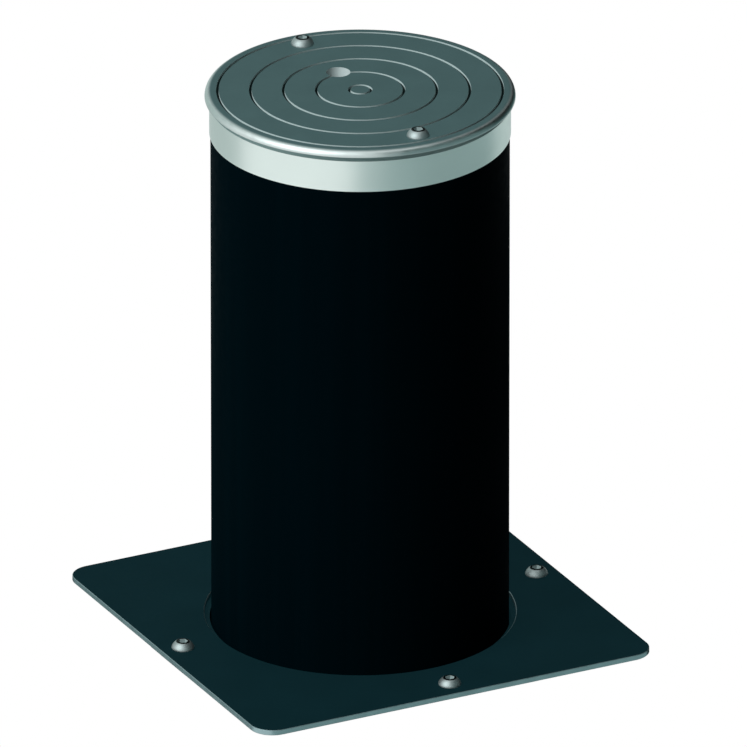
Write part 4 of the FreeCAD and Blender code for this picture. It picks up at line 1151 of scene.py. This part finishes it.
class BOLLARD_OT_stage(bpy.types.Operator):
    """Sets the floor, the lights, the backdrop and the camera"""

    bl_idname = "bollard.stage"
    bl_label = "Studio"

    def execute(self, context):
        settings = context.scene.bollard_stage
        context.scene.view_settings.view_transform = "Standard"
        studio_world(settings)
        self.add_floor(settings)
        for name, share, shadow, gloss in KEY_LAMPS:
            lamp = area_light(name, KEY_PLACE, share * settings.key_power)
            lamp.data.use_shadow = shadow
            lamp.visible_glossy = gloss
        area_light("back_lamp", BACK_PLACE, settings.back_power)
        for name, radius, start, end, low, high, tint in REFLECTORS:
            first, last = (settings.azimuth + math.radians(degrees) for degrees in (start, end))
            reflector(name, radius, first, last, low, high, tint)
        self.add_camera(context, settings)
        self.add_ground_card(context, settings)
        return {"FINISHED"}

    def add_floor(self, settings):
        """The floor that the casing stands on."""
        shape = bmesh.new()
        height = CAD_BOX[0].z - settings.floor_gap
        turn_profile(shape, [(0, height), (settings.floor_radius, height)], STAGE_STEPS)
        floor = make_piece("floor", shape, floor_material(settings))

    def add_camera(self, context, settings):
        """A very long lens, so that upright edges stay parallel."""
        away = outward(settings.azimuth, settings.elevation)
        turn = looking_back(away)
        target = Vector((0, 0, PLATE_HIGH.z)) + turn @ Vector((settings.aim_right, settings.aim_up, 0))
        camera = bpy.data.cameras.new("camera")
        camera.lens = settings.lens
        camera.sensor_width = settings.sensor
        camera.clip_end = 2 * settings.distance
        holder = add_object("camera", camera)
        put(holder, target + away * settings.distance, turn)
        context.scene.camera = holder

    def add_ground_card(self, context, settings):
        """White card nearer the camera, cut along the plate's near edges: the ground round the casing."""
        sizes = context.scene.bollard_plate
        shape = bmesh.new()
        outer = circle_loop(shape, (0, 0), settings.ground_reach, PLATE_LOW.z, STAGE_STEPS)
        inner = rounded_square(shape, sizes.half_width, sizes.corner, PLATE_LOW.z + settings.ground_lap)
        bmesh.ops.triangle_fill(shape, use_beauty=True, edges=outer + inner)
        far_side = Vector((1, 1, 0))
        bmesh.ops.bisect_plane(
            shape, geom=shape.verts[:] + shape.edges[:] + shape.faces[:],
            plane_co=-settings.ground_margin * far_side, plane_no=far_side, clear_outer=True)
        nearer = 1 - settings.ground_nearer / settings.distance
        bmesh.ops.scale(
            shape, verts=shape.verts[:], vec=(nearer, nearer, nearer),
            space=Matrix.Translation(-context.scene.camera.location))
        card = make_piece("ground_card", shape, glow_material("ground_white", WHITE))
        card.visible_diffuse = False
        card.visible_glossy = False
        card.visible_transmission = False
        card.visible_shadow = False


class BOLLARD_PT_sidebar(bpy.types.Panel):
    """Lists the bollard's settings and the steps that dress it"""

    bl_idname = "BOLLARD_PT_sidebar"
    bl_label = "Bollard"
    bl_space_type = "VIEW_3D"
    bl_region_type = "UI"
    bl_category = "Bollard"

    def draw(self, context):
        for operator in OPERATORS:
            self.layout.operator(operator.bl_idname)
        for name, group in SETTINGS.items():
            box = self.layout.box()
            box.label(text=group.__doc__)
            for prop in group.__annotations__:
                box.prop(getattr(context.scene, name), prop)


SETTINGS = {
    "bollard_head": HeadSettings,
    "bollard_screws": ScrewSettings,
    "bollard_plate": PlateSettings,
    "bollard_body": BodySettings,
    "bollard_stage": StageSettings,
}
OPERATORS = (
    BOLLARD_OT_post,
    BOLLARD_OT_head,
    BOLLARD_OT_band,
    BOLLARD_OT_head_screws,
    BOLLARD_OT_cover_plate,
    BOLLARD_OT_cover_screws,
    BOLLARD_OT_casing,
    BOLLARD_OT_works,
    BOLLARD_OT_welds,
    BOLLARD_OT_stage,
)
CLASSES = (*SETTINGS.values(), *OPERATORS, BOLLARD_PT_sidebar)


def register():
    """Adds the classes and their settings to the scene."""
    for item in CLASSES:
        bpy.utils.register_class(item)
    for name, group in SETTINGS.items():
        setattr(bpy.types.Scene, name, PointerProperty(type=group))


def unregister():
    """Removes what register added."""
    for name in SETTINGS:
        delattr(bpy.types.Scene, name)
    for item in reversed(CLASSES):
        bpy.utils.unregister_class(item)


def main():
    """Dresses the bollard step by step."""
    register()
    bpy.ops.bollard.post()
    bpy.ops.bollard.head()
    bpy.ops.bollard.band()
    bpy.ops.bollard.head_screws()
    bpy.ops.bollard.cover_plate()
    bpy.ops.bollard.cover_screws()
    bpy.ops.bollard.casing()
    bpy.ops.bollard.works()
    bpy.ops.bollard.welds()
    bpy.ops.bollard.stage()


if __name__ == "__main__":
    main()
